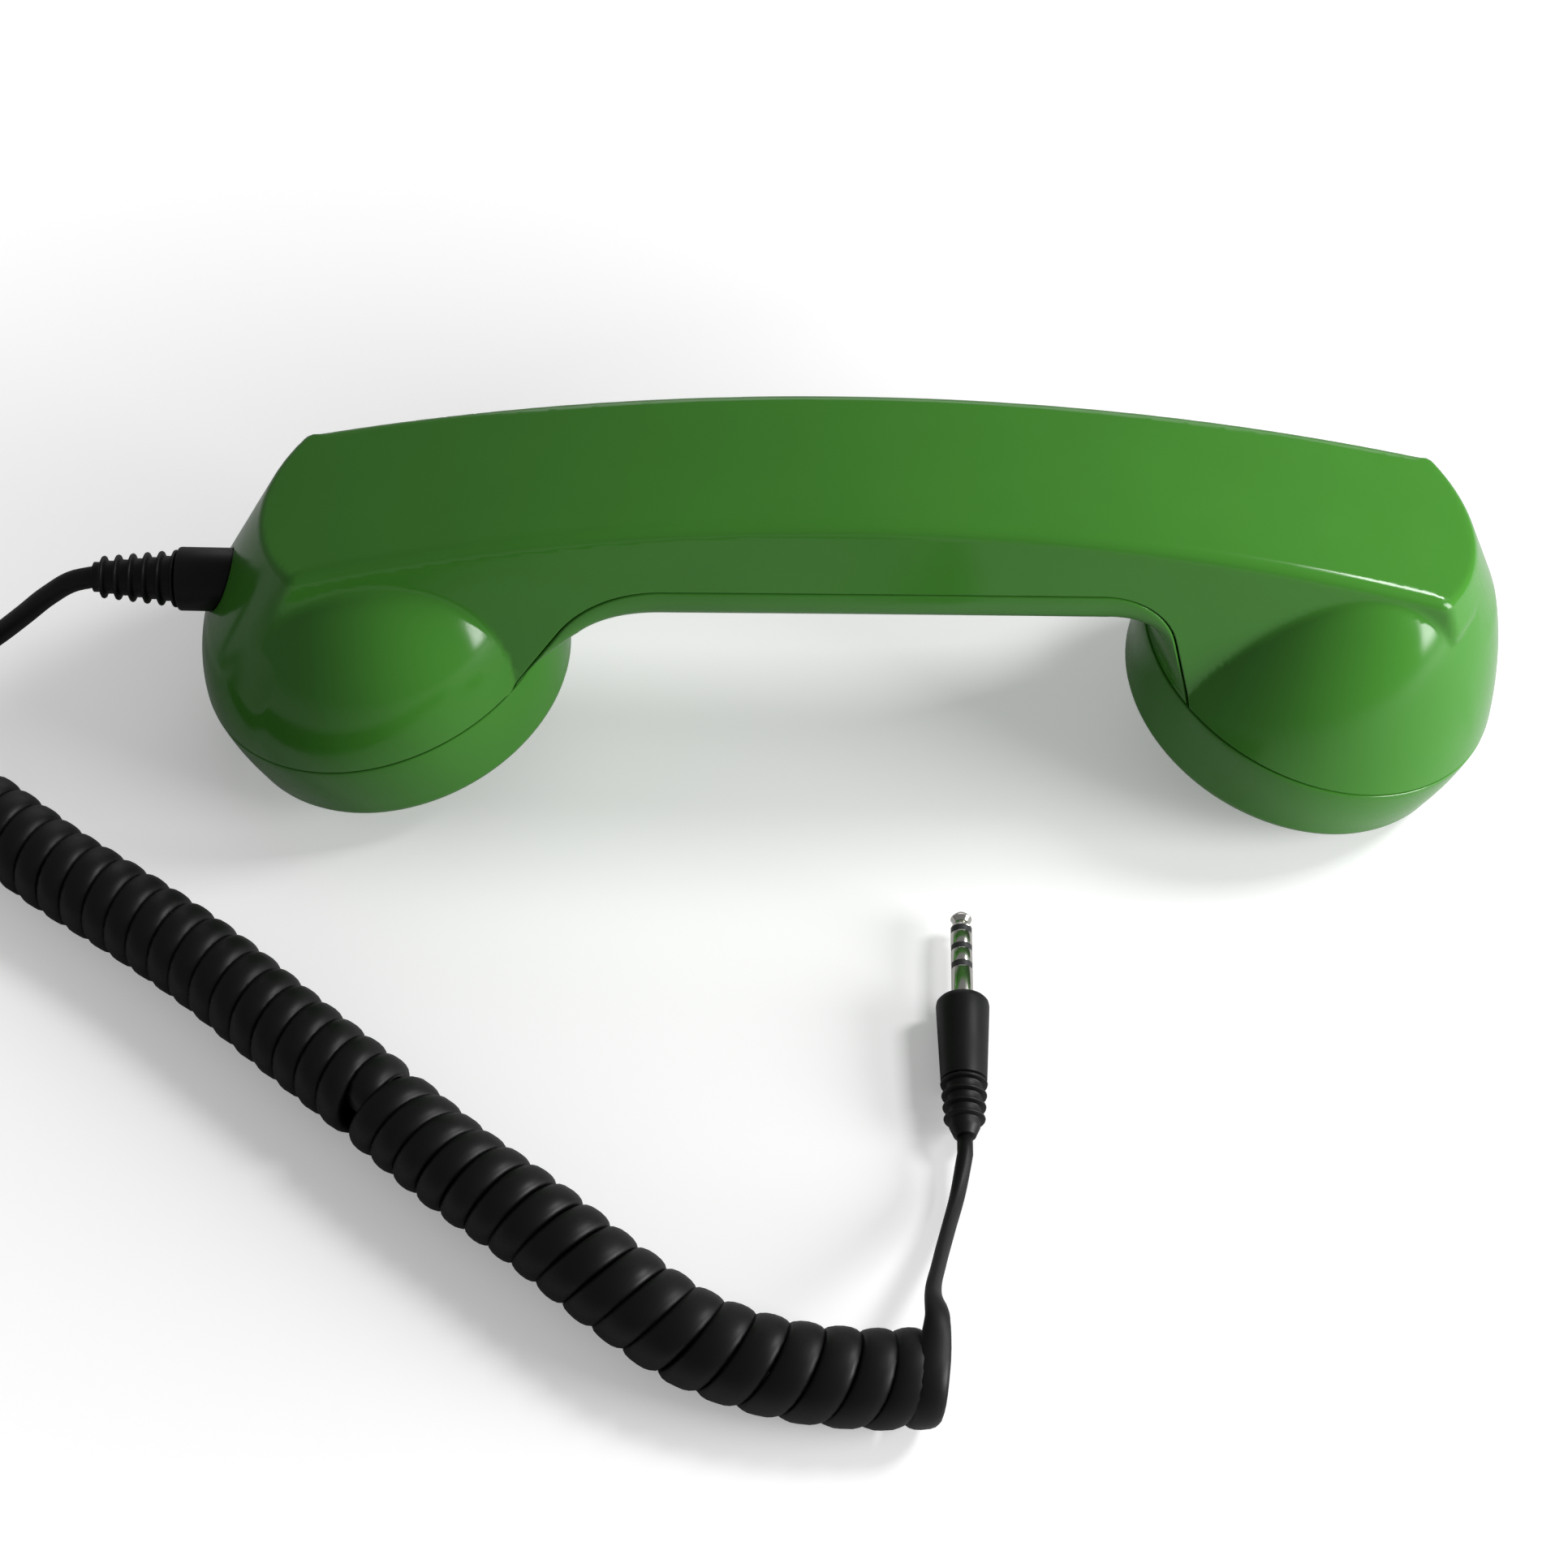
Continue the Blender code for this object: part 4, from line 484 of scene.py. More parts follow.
def parting_line(spacing=1.2):
    """(x, z) points from the mouth seam to the ear seam, evenly close."""
    rise = np.array((1.0, EDGE_RISE)) / math.hypot(1.0, EDGE_RISE)
    ends = {}
    for side in SIDES:
        foot = np.array((PARTING_START_X[side], float(seam_line(PARTING_START_X[side]))))
        lean = INNER_WALL_LEAN[side]
        up = np.array((-side * math.sin(lean), math.cos(lean)))
        climb = (EDGE_HEIGHT + EDGE_RISE * foot[0] - foot[1]) / (up[1] - EDGE_RISE * up[0])
        arc = arc_points(foot + up * climb, -up, rise * -side, INNER_WALL_FILLET[side], 24)
        ends[side] = [foot] + arc
    chain = np.array(ends[MOUTH] + ends[EAR][::-1])
    run = run_length(chain)
    places = np.linspace(0, run[-1], round(run[-1] / spacing) + 1)
    knots = np.unique(np.concatenate((places, run[[1, 25, -26, -2]])))
    return np.stack((np.interp(knots, run, chain[:, 0]), np.interp(knots, run, chain[:, 1])), 1)


PARTING = parting_line()


def parting_distance(p):
    """Distance above the parting line, and its direction; the end walls run on downwards."""
    first = PARTING[0] + unit(PARTING[0] - PARTING[1]) * 60
    last = PARTING[-1] + unit(PARTING[-1] - PARTING[-2]) * 60
    chain = np.vstack((first, PARTING, last))
    place = p[:, (0, 2)]
    best = np.full(len(p), 1e9)
    value = np.zeros(len(p))
    direction = np.zeros((len(p), 3))
    for a, b in zip(chain[:-1], chain[1:]):
        along = b - a
        length = np.linalg.norm(along)
        along = along / length
        square = np.array((-along[1], along[0]))
        t = np.clip((place - a) @ along, 0, length)
        off = place - (a + t[:, None] * along)
        gap = np.linalg.norm(off, axis=1)
        near = gap < best - 1e-9
        sign = np.where((place - a) @ square >= 0, 1.0, -1.0)
        heading = np.where(gap[:, None] > 1e-6, off / np.maximum(gap, 1e-9)[:, None] * sign[:, None], square)
        best = np.where(near, gap, best)
        value = np.where(near, gap * sign, value)
        direction[near, 0] = heading[near, 0]
        direction[near, 2] = heading[near, 1]
    return value, direction


def seam_distance(p):
    """Distance above the two seam planes, which meet over the middle."""
    side = np.where(p[:, 0] < 0, -1.0, 1.0)
    value = (p[:, 2] - seam_line(p[:, 0])) * math.cos(TILT)
    direction = np.stack((side * math.sin(TILT), np.zeros(len(p)), np.full(len(p), math.cos(TILT))), 1)
    return value, direction


def relief_hole_distance(p):
    """Distance from the hole for the strain relief; the rest of the shell is far from it."""
    off = np.stack((np.zeros(len(p)), p[:, 1], p[:, 2] - RELIEF_HEIGHT), 1)
    gap = np.linalg.norm(off, axis=1)
    value = np.where(p[:, 0] < -90, gap - RELIEF_HOLE_RADIUS, 50.0)
    return value, off / np.maximum(gap, 1e-6)[:, None]


# ---- meshing a field
def surface_net(field, low, high, pitch):
    """Quads on the zero surface of a field."""
    axes = [np.arange(low[k], high[k] + pitch, pitch) for k in range(3)]
    shape = tuple(len(a) for a in axes)
    grid = np.stack(np.meshgrid(*axes, indexing="ij"), -1).reshape(-1, 3)
    value = np.concatenate([field(part)[0] for part in np.array_split(grid, 12)]).reshape(shape)
    inside = value < 0
    cells = tuple(n - 1 for n in shape)
    count = np.zeros(cells, int)
    for i in (0, 1):
        for j in (0, 1):
            for k in (0, 1):
                count += inside[i:cells[0] + i, j:cells[1] + j, k:cells[2] + k]
    active = (count > 0) & (count < 8)
    number = np.full(cells, -1)
    number[active] = np.arange(active.sum())
    where = np.argwhere(active)
    points = np.stack([axes[k][where[:, k]] + pitch / 2 for k in range(3)], 1)
    faces = []
    for axis in range(3):
        u, v = (axis + 1) % 3, (axis + 2) % 3
        low_side = np.moveaxis(inside, axis, 0)[:-1]
        high_side = np.moveaxis(inside, axis, 0)[1:]
        crossing = np.moveaxis(low_side != high_side, 0, axis)
        spots = np.argwhere(crossing)
        keep = (spots[:, u] > 0) & (spots[:, v] > 0) & (spots[:, u] < cells[u]) & (spots[:, v] < cells[v])
        spots = spots[keep]
        corners = []
        for du, dv in ((-1, -1), (0, -1), (0, 0), (-1, 0)):
            spot = spots.copy()
            spot[:, u] += du
            spot[:, v] += dv
            corners.append(number[tuple(spot.T)])
        quad = np.stack(corners, 1)
        outward = inside[tuple(spots.T)]
        quad[~outward] = quad[~outward][:, ::-1]
        faces.append(quad[(quad >= 0).all(1)])
    return points, np.concatenate(faces)


def settle(points, faces, field, rounds=6):
    """Draw the points onto the field's surface and even them out along it."""
    edges = np.concatenate([faces[:, (k, (k + 1) % 4)] for k in range(4)])
    links = np.bincount(edges.ravel(), minlength=len(points))
    for turn in range(rounds):
        value, normal = field(points)
        points = points - np.clip(value, -1, 1)[:, None] * normal
        if turn < rounds - 2:
            total = np.zeros_like(points)
            for a, b in ((0, 1), (1, 0)):
                for k in range(3):
                    total[:, k] += np.bincount(edges[:, a], points[edges[:, b], k], len(points))
            mean = total / np.maximum(links, 1)[:, None]
            move = mean - points
            _, normal = field(points)
            move -= (move * normal).sum(1)[:, None] * normal
            points = points + 0.5 * move
    for _ in range(3):
        value, normal = field(points)
        points = points - value[:, None] * normal
    return points


def onto(points, field, cut, level):
    """Move points onto both the surface and the cut."""
    for _ in range(8):
        value, normal = field(points)
        points = points - value[:, None] * normal
        gap, away = cut(points)
        away = away - (away * normal).sum(1)[:, None] * normal
        size = np.maximum((away ** 2).sum(1), 0.05)
        points = points - ((gap - level) / size)[:, None] * away
    return points


def compact(points, faces):
    """Drop the points that no face uses."""
    used = sorted({i for face in faces for i in face})
    order = dict(zip(used, range(len(used))))
    return points[used], [[order[i] for i in face] for face in faces]


def clip(points, faces, field, cut, level, pitch):
    """Keep the part of a mesh where the cut's distance is above a level."""
    value, _ = cut(points)
    near = np.abs(value - level) < 0.32 * pitch
    points = points.copy()
    points[near] = onto(points[near], field, cut, level)
    value, _ = cut(points)
    state = np.where(near, 0, np.where(value > level, 1, -1)).tolist()
    kept, mixed = [], []
    for face in faces:
        signs = [state[i] for i in face]
        if max(signs) > 0:
            (kept if min(signs) >= 0 else mixed).append(face)
    crossings = {}
    extra = []
    for face in mixed:
        loop = []
        for i, here in enumerate(face):
            after = face[(i + 1) % len(face)]
            if state[here] >= 0:
                loop.append(here)
            if state[here] * state[after] < 0:
                key = (min(here, after), max(here, after))
                if key not in crossings:
                    crossings[key] = len(points) + len(extra)
                    t = (level - value[key[0]]) / (value[key[1]] - value[key[0]])
                    extra.append(points[key[0]] * (1 - t) + points[key[1]] * t)
                loop.append(crossings[key])
        if len(loop) > 2:
            kept.append(loop)
    if extra:
        points = np.vstack((points, onto(np.array(extra), field, cut, level)))
    return compact(points, kept)


def boundary_edges(faces):
    seen = {}
    for face in faces:
        for a, b in zip(face, face[1:] + face[:1]):
            seen[(a, b)] = seen.get((a, b), 0) + 1
    return [(a, b) for (a, b) in seen if (b, a) not in seen]


def close_shell(points, faces, field, cuts, wall, lip):
    """Give an open skin a rounded lip, an edge and an inner face, so that it is a closed body.

    cuts are (cut, level) pairs; each boundary point belongs to every cut whose level it lies on.
    """
    _, normal = field(points)
    edges = boundary_edges(faces)
    rim = np.unique(np.array(edges).ravel())
    away = np.zeros((len(rim), 3))
    for cut, level in cuts:
        gap, direction = cut(points[rim])
        on = np.abs(gap - level) < 0.05
        away[on] += direction[on]
    away = unit(away)
    inward = -(normal[rim] - (normal[rim] * away).sum(1)[:, None] * away)
    inward = unit(inward)
    rings = [rim]
    stack = [points]
    total = len(points)
    for turn in LIP_TURNS:
        ring = points[rim] - away * lip * math.sin(turn) + inward * lip * (1 - math.cos(turn))
        stack.append(ring)
        rings.append(np.arange(total, total + len(rim)))
        total += len(rim)
    stack.append(points - normal * wall)
    inner_start = total
    stack[-1][rim] = points[rim] - away * lip + inward * wall
    result = list(faces) + [[inner_start + i for i in reversed(f)] for f in faces]
    rings.append(inner_start + rim)
    slot = {int(v): i for i, v in enumerate(rim)}
    for a, b in edges:
        i, j = slot[a], slot[b]
        for low, high in zip(rings[:-1], rings[1:]):
            result.append([int(low[j]), int(low[i]), int(high[i]), int(high[j])])
    return np.vstack(stack), result


def field_normals(item, points, field, count):
    """Shade the first points with the field's own normals."""
    data = item.data
    _, exact = field(points[:count])
    own = np.array([v.normal[:] for v in data.vertices])
    own[:count] = exact
    data.normals_split_custom_set_from_vertices([tuple(n) for n in own])


def make_shell():
    points, faces = surface_net(shell_field, *SHELL_BOX, SHELL_PITCH)
    rough = (parting_distance(points)[0] > -3) & (seam_distance(points)[0] > -3)
    faces = faces[rough[faces].all(1)]
    points, faces = compact(points, faces.tolist())
    points = settle(points, np.array(faces), shell_field)
    level = SEAM_GAP + LIP
    cuts = ((seam_distance, level), (parting_distance, level), (relief_hole_distance, 0.0))
    for cut, height in cuts:
        points, faces = clip(points, faces, shell_field, cut, height, SHELL_PITCH)
    outer = len(points)
    closed, faces = close_shell(points, faces, shell_field, cuts, SHELL_WALL, LIP)
    item = new_mesh("grip_shell", closed, faces)
    field_normals(item, closed, shell_field, outer)
    return item


# ---- inner cover
def loft(name, rings, ends=True):
    """Skin over rings that all have the same number of points."""
    points = np.concatenate(rings)
    count = len(rings[0])
    faces = []
    for row in range(len(rings) - 1):
        for k in range(count):
            after = (k + 1) % count
            low, high = row * count, (row + 1) * count
            faces.append((low + k, low + after, high + after, high + k))
    if ends:
        faces.append(tuple(range(count)))
        faces.append(tuple(range(len(points) - 1, len(points) - count - 1, -1)))
    return recalc(new_mesh(name, points, faces))


def cut_out(item, tool):
    """Cut a tool out of a piece and delete the tool."""
    change = item.modifiers.new("cut", "BOOLEAN")
    change.operation = "DIFFERENCE"
    change.solver = "EXACT"
    change.object = tool
    bpy.context.view_layer.objects.active = item
    bpy.ops.object.modifier_apply(modifier=change.name)
    bpy.data.objects.remove(tool, do_unlink=True)
    return item


def wall_length(chain):
    """Length of the straight part that a line begins with."""
    off = chain - chain[0]
    reach = np.linalg.norm(off, axis=1)
    heading = off / np.maximum(reach, 1e-6)[:, None]
    bend = np.abs(heading[:, 0] * heading[1, 1] - heading[:, 1] * heading[1, 0])
    return reach[bend < 1e-4][-1]


def facing_angles(chain, run):
    """Way that the cover faces along the parting line, in the XZ plane."""
    slope = np.gradient(chain, run, axis=0)
    facing = np.unwrap(np.arctan2(slope[:, 1], slope[:, 0])) - math.pi / 2
    seam_angles = (TILT, -math.pi - TILT)
    wall_angles = (-INNER_WALL_LEAN[MOUTH], -math.pi + INNER_WALL_LEAN[EAR])
    lines = (chain, chain[::-1])
    for line, along, seam, wall in zip(lines, (run, run[-1] - run), seam_angles, wall_angles):
        length = wall_length(line)
        facing = np.where(along < length, mix(seam, wall, np.clip(along / length, 0, 1)), facing)
    return facing


def halve(low, high, is_inside):
    """Where a value stops being inside, by halving."""
    for _ in range(HALVINGS):
        middle = (low + high) / 2
        inside = is_inside(middle)
        low, high = np.where(inside, middle, low), np.where(inside, high, middle)
    return low


def shell_half(chain):
    """Half width of the shell at each point of the parting line."""
    def is_inside(y):
        return shell_field(np.stack((chain[:, 0], y, chain[:, 1]), 1))[0] < 0

    return halve(np.zeros(len(chain)), np.full(len(chain), 33.0), is_inside)


def crown(y, half, round_share):
    """Depth of the cover below the parting line: the grip's crown or the cup's circle."""
    share = np.clip(np.abs(y) / half, 0, 1)
    flat = CROWN_DEPTH * np.maximum(1 - share ** CROWN_POWER, 0) ** (1 / CROWN_POWER)
    chord = math.sqrt(max(SEAM_RADIUS ** 2 - half ** 2, 0))
    bulging = np.sqrt(np.maximum(SEAM_RADIUS ** 2 - y ** 2, 0)) - chord
    return mix(flat, bulging, round_share)


def cover_section(half, round_share):
    """(y, depth) points once round the cover: outer face, lips and hollow."""
    edge = SEAM_GAP + LIP
    low = float(halve(0.0, half, lambda y: crown(y, half, round_share) > edge))
    angles = np.linspace(-math.pi / 2, math.pi / 2, COVER_SAMPLES)
    y = low * np.sin(angles)
    depth = np.maximum(crown(y, half, round_share), edge)
    outer = list(zip(y, depth))
    lip = [(low - LIP * (1 - math.cos(turn)), edge - LIP * math.sin(turn)) for turn in LIP_TURNS]
    y = (half - COVER_LAND) * np.sin(angles[::-2])
    hollow = list(zip(y, np.maximum(crown(y, half, round_share) - COVER_WALL, SEAM_GAP + 0.05)))
    land = [(half - COVER_LAND, SEAM_GAP)]
    mirrored = [(-a, b) for a, b in reversed(land)] + [(-a, b) for a, b in reversed(lip)]
    return outer + lip + land + hollow + mirrored


def cover_ring(point, angle, section):
    return [(point[0] + math.cos(angle) * d, y, point[1] + math.sin(angle) * d) for y, d in section]


def lip_ring(ring, side, turn):
    """The last section moved on to the seam and drawn in, for a rounded edge there."""
    middle, axis, _ = cup_frame(side)
    off = np.array(ring) - middle
    flat = off - (off @ axis)[:, None] * axis
    reach = np.linalg.norm(flat, axis=1)
    outer = (reach > SEAM_RADIUS - 1.0)[:, None]
    inward = -unit(flat) * LIP * (1 - math.cos(turn)) * outer
    return off + middle + inward - axis * LIP * math.sin(turn)


def make_cover():
    axis = {side: np.array((side * math.sin(TILT), math.cos(TILT))) for side in SIDES}
    run = run_length(PARTING)
    facing = facing_angles(PARTING, run)
    first, last = unit(PARTING[1] - PARTING[0]), unit(PARTING[-2] - PARTING[-1])
    start = (SEAM_GAP + LIP) / float(first @ axis[MOUTH])
    finish = run[-1] - (SEAM_GAP + LIP) / float(last @ axis[EAR])
    places = np.concatenate(([start], run[(run > start + 0.3) & (run < finish - 0.3)], [finish]))
    chain = np.stack([np.interp(places, run, PARTING[:, k]) for k in (0, 1)], 1)
    facing = np.interp(places, run, facing)
    facing[0], facing[-1] = TILT, -math.pi - TILT
    halves = shell_half(chain)
    seam = np.where(chain[:, 0] < 0, TILT, -math.pi - TILT)
    round_share = ease(1 - np.abs(facing - seam) / np.abs(-math.pi / 2 - seam), 0.0, 1.0)
    rings = [
        cover_ring(point, angle, cover_section(half, share))
        for point, angle, half, share in zip(chain, facing, halves, round_share)
    ]
    before = [lip_ring(rings[0], MOUTH, turn) for turn in reversed(LIP_TURNS)]
    after = [lip_ring(rings[-1], EAR, turn) for turn in LIP_TURNS]
    cover = loft("grip_cover", before + [np.array(ring) for ring in rings] + after)
    hole = turned("hole", [(0, 30), (BUTTON_RADIUS + 0.3, 30), (BUTTON_RADIUS + 0.3, 50), (0, 50)], 64)
    return sharpen(cut_out(cover, hole), 30)


# ---- caps and necks
def cap_outline():
    side = [
        (SEAM_RADIUS - LIP * (1 - math.sin(t)), -SEAM_GAP - LIP * (1 - math.cos(t)))
        for t in (0.0, 0.52, 1.05, math.pi / 2)
    ]
    straight = CAP_DEPTH - CAP_CORNER
    for depth in np.linspace(SEAM_GAP + LIP, straight, 10)[1:]:
        side.append((SEAM_RADIUS - CAP_TAPER * (depth / straight) ** 2, -depth))
    middle = SEAM_RADIUS - CAP_TAPER - CAP_CORNER
    for t in np.linspace(0, math.pi / 2, 9)[1:]:
        side.append((middle + CAP_CORNER * math.cos(t), -straight - CAP_CORNER * math.sin(t)))
    rim = middle - CAP_RIM_WIDTH
    face = CAP_DEPTH - CAP_FACE_DROP
    bore = NECK_RADIUS + CAP_BORE_CLEARANCE
    rest = [(rim, -CAP_DEPTH), (rim - 0.5, -face), (0.0, -face), (0.0, CAP_FACE_WALL - face)]
    rest += [(bore - CAP_FACE_WALL, CAP_FACE_WALL - face), (bore, -CAP_BORE_DEPTH), (bore, -SEAM_GAP)]
    return side + round_outline(rest, 0.35, keep=(0, len(rest) - 1))


def make_cap(side):
    cap = turned(CUP_NAMES[side] + "_screw_cap", cap_outline(), 128)
    face = CAP_DEPTH - CAP_FACE_DROP
    wide, narrow, past = SOUND_HOLE_MOUTH, SOUND_HOLE_RADIUS, CAP_FACE_WALL + 1.0 - face
    cutter = [(0, -face - 1.5), (wide, -face - 1.5), (wide, -face - 0.02), (narrow, 0.3 - face)]
    cutter += [(narrow, past), (0, past)]
    places = [(0.0, 0.0)]
    for radius, count in SOUND_RINGS[side]:
        for k in range(count):
            turn = math.tau * (k + 0.5) / count
            places.append((radius * math.cos(turn), radius * math.sin(turn)))
    for x, y in places:
        hole = turned("hole", cutter, 24)
        cut_out(cap, put(hole, Matrix.Translation(Vector((x, y, 0.0)) * MM)))
    return put(sharpen(cap, 30), cup_matrix(side))


def make_neck(side):
    """Threaded neck under the cup with the ledge that carries its plate."""
    low, high = LEDGE_HEIGHTS
    outline = [(NECK_BORE, -NECK_LENGTH), (NECK_RADIUS, -NECK_LENGTH), (NECK_RADIUS, low)]
    outline += [(LEDGE_RADIUS, low), (LEDGE_RADIUS, high), (LEDGE_BORE, high), (LEDGE_BORE, low)]
    outline += [(NECK_BORE, low)]
    neck = turned(CUP_NAMES[side] + "_neck", round_outline(outline, 0.3, 2), 96)
    turns = THREAD_LENGTH / THREAD_PITCH
    rings = []
    for turn in np.linspace(0.0, turns, THREAD_STEPS + 1):
        angle = math.tau * turn
        height = -THREAD_START - THREAD_PITCH * turn
        fade = 0.3 * min(1.0, 8 * turn, 8 * (turns - turn)) - 0.05
        section = ((-0.15, -0.6), (fade, -0.15), (fade, 0.15), (-0.15, 0.6))
        rings.append([
            ((NECK_RADIUS + r) * math.cos(angle), (NECK_RADIUS + r) * math.sin(angle), height + h)
            for r, h in section
        ])
    thread = loft("thread", [np.array(ring) for ring in rings])
    joined = bmesh.new()
    joined.from_mesh(neck.data)
    joined.from_mesh(thread.data)
    joined.to_mesh(neck.data)
    joined.free()
    bpy.data.objects.remove(thread, do_unlink=True)
    return put(sharpen(neck, 30), cup_matrix(side))


def make_button():
    outline = [(0.0, 39.25), (4.9, 39.25), (BUTTON_RADIUS, 39.55), (BUTTON_RADIUS, 42.76)]
    outline += [(7.0, 42.76), (7.0, 43.96), (1.7, 43.96), (1.7, 44.56), (0.0, 44.56)]
    return sharpen(turned("talk_button", round_outline(outline, 0.3, 3), 64), 35)


# ---- strain relief and plug
def ribbed(start, pitch, count, radii, groove):
    """(position, radius) points of a tapering sleeve with rounded ribs."""
    points = []
    for k in range(count):
        crest = mix(*radii, k / (count - 1))
        for place, depth in RIB_PROFILE:
            points.append((start + pitch * (k + place), crest - groove * depth))
    return points


def make_relief():
    """Sleeve around an X axis; its collar follows the slope of the end wall.

    Rows are (distance from the middle, radius, None) or (None, radius, offset from the wall).
    """
    pitch = (RELIEF_END - RELIEF_COLLAR_END) / RELIEF_RIBS
    ribs = ribbed(RELIEF_COLLAR_END, pitch, RELIEF_RIBS, RELIEF_CRESTS, RELIEF_GROOVE)
    rows = [(RELIEF_END, 2.1, None)] + [(place, radius, None) for place, radius in reversed(ribs)]
    rows += [(RELIEF_COLLAR_END, 4.95, None), (RELIEF_COLLAR_END - 0.1, 5.2, None)]
    rows += [(RELIEF_COLLAR_END - 0.35, 5.3, None), (None, 5.3, -0.30), (None, 5.18, -0.05)]
    rows += [(None, 4.95, 0.0), (None, 4.95, 1.9), (None, 6.0, 1.9), (None, 6.0, 3.3)]
    rings = []
    for position, radius, offset in rows:
        turns = math.tau * (np.arange(RELIEF_SIDES) + 0.5) / RELIEF_SIDES
        y, z = radius * np.cos(turns), RELIEF_HEIGHT + radius * np.sin(turns)
        if position is None:
            centre, reach, _ = end_arc(MOUTH, z)
            x = centre - np.sqrt(reach ** 2 - y ** 2) + offset
        else:
            x = np.full(RELIEF_SIDES, -position)
        rings.append(np.stack((x, y, z), 1))
    return sharpen(loft("relief_boot", rings), 50)


def plug_matrix():
    return Matrix.Translation(Vector(PLUG) * MM) @ Matrix.Rotation(-math.pi / 2, 4, "X")


def make_plug():
    ribs = ribbed(PLUG_BODY_LENGTH, PLUG_RIB_PITCH, PLUG_RIBS, PLUG_CRESTS, PLUG_GROOVE)
    outline = [(0.0, -6.0), (1.0, -6.0), (1.0, -1.5), (1.9, -1.5), (2.05, 0.0), (3.2, 0.0)]
    outline += [(3.85, -0.12), (4.2, -0.55), (4.3, -1.2)]
    outline += [(4.3 - 0.6 * t, -1.2 - 13.4 * t) for t in np.linspace(0, 1, 6)[1:]]
    outline += [(3.66, -14.9)]
    outline += [(radius, -position) for position, radius in ribs]
    outline += [(2.3, -23.6), (1.75, -24.9), (1.5, -25.0), (0.0, -25.0)]
    return put(sharpen(turned("plug_grip", outline, 64), 40), plug_matrix())


def make_pin():
    """Four-pole pin: metal rings on an insulating core whose collars part them."""
    inner, outer, core_radius = PIN_BORE, PIN_RADIUS, PIN_CORE_RADIUS
    pieces = {}
    for name, low, high in PIN_METAL:
        outline = [(inner, low), (outer, low), (outer, high), (inner, high)]
        pieces[name] = turned(name, round_outline(outline, 0.08, 2), 48)
    core = [(0.0, -5.7), (core_radius, -5.7)]
    for low, high in PIN_COLLARS:
        core += [(core_radius, low), (outer - 0.03, low), (outer - 0.03, high), (core_radius, high)]
    core += [(core_radius, 14.6), (0.0, 14.6)]
    pieces["pin_core"] = turned("pin_core", core, 48)
    tip = [(inner, 13.9), (outer - 0.05, 13.9), (outer, 13.98), (1.62, 14.3), (1.36, 14.75)]
    tip += [(1.26, 15.05), (1.36, 15.3), (1.62, 15.55), (outer, 15.8), (1.68, 16.05), (1.3, 16.45)]
    tip += [(0.85, 16.85), (0.5, 17.05), (0.0, 17.1), (0.0, 15.0), (inner, 15.0)]
    pieces["pin_tip"] = turned("pin_tip", tip, 48)
    for piece in pieces.values():
        put(sharpen(piece, 35), plug_matrix())
    return pieces


# ---- cord
def curl_offset(turn):
    """Place of the strip's centre around the curls' axis, as (up, across) on a unit circle.

    After CURLS_BEFORE turns the strip crosses the middle in an S and winds the other way.
    """
    past = turn - CURLS_BEFORE
    if past <= 0:
        return math.cos(math.tau * turn), math.sin(math.tau * turn)
    if past < 0.25:
        swing = math.tau * past * 2
        return 0.5 + 0.5 * math.cos(swing), 0.5 * math.sin(swing)
    if past < 0.5:
        swing = math.tau * (past - 0.25) * 2
        return -0.5 + 0.5 * math.cos(swing), -0.5 * math.sin(swing)
    swing = math.tau * (past - 0.5)
    return -math.cos(swing), math.sin(swing)


def pulled(share):
    """From 0 to 1: how far the curls are pulled open at a share of their run."""
    return ease(share, 0.68, 0.80) * (1 - ease(share, 0.93, 0.99))


def turn_places(turns, length):
    """Distance along the curls' axis at each turn."""
    marks = np.linspace(0, 1, 400)
    opening = 1 + CURL_OPENING * pulled(marks)
    travelled = np.concatenate(([0.0], np.cumsum((opening[1:] + opening[:-1]) / 2)))
    return np.interp(turns / turns[-1], marks, travelled / travelled[-1] * length)


def curl_strand():
    """Centre points of the curled strip and the direction of the curls' axis at each."""
    axis = smooth_curve(CURL_ROUTE, 1.0)
    run = run_length(axis)
    headings = unit(np.gradient(axis, run, axis=0))
    turns = np.arange(round((CURLS_BEFORE + 0.5 + CURLS_AFTER) * CURL_POINTS) + 1) / CURL_POINTS
    places = turn_places(turns, run[-1])
    x, y = (np.interp(places, run, axis[:, k]) for k in (0, 1))
    heading = unit(np.stack([np.interp(places, run, headings[:, k]) for k in (0, 1)], 1))
    up, across = np.array([curl_offset(turn) for turn in turns]).T
    points = np.stack((
        x + CURL_RADIUS * across * heading[:, 1],
        y - CURL_RADIUS * across * heading[:, 0],
        CURL_HEIGHT + CURL_RADIUS * up,
    ), 1)
    axes = np.stack((heading[:, 0], heading[:, 1], np.zeros(len(heading))), 1)
    share = turns / turns[-1]
    lean = CURL_LEAN * ease(share, 0.62, 0.82) * (1 - ease(share, 0.97, 1.0))
    return points + axes * (lean * up)[:, None], axes


def carry(directions, points, start, step):
    """Carry the strip's wide direction along a lead from the curl it leaves."""
    along = unit(np.gradient(points, axis=0))
    index = start
    while 0 <= index + step < len(points):
        ahead = index + step
        wide = directions[index] - (directions[index] @ along[ahead]) * along[ahead]
        directions[ahead] = wide / np.linalg.norm(wide)
        index = ahead


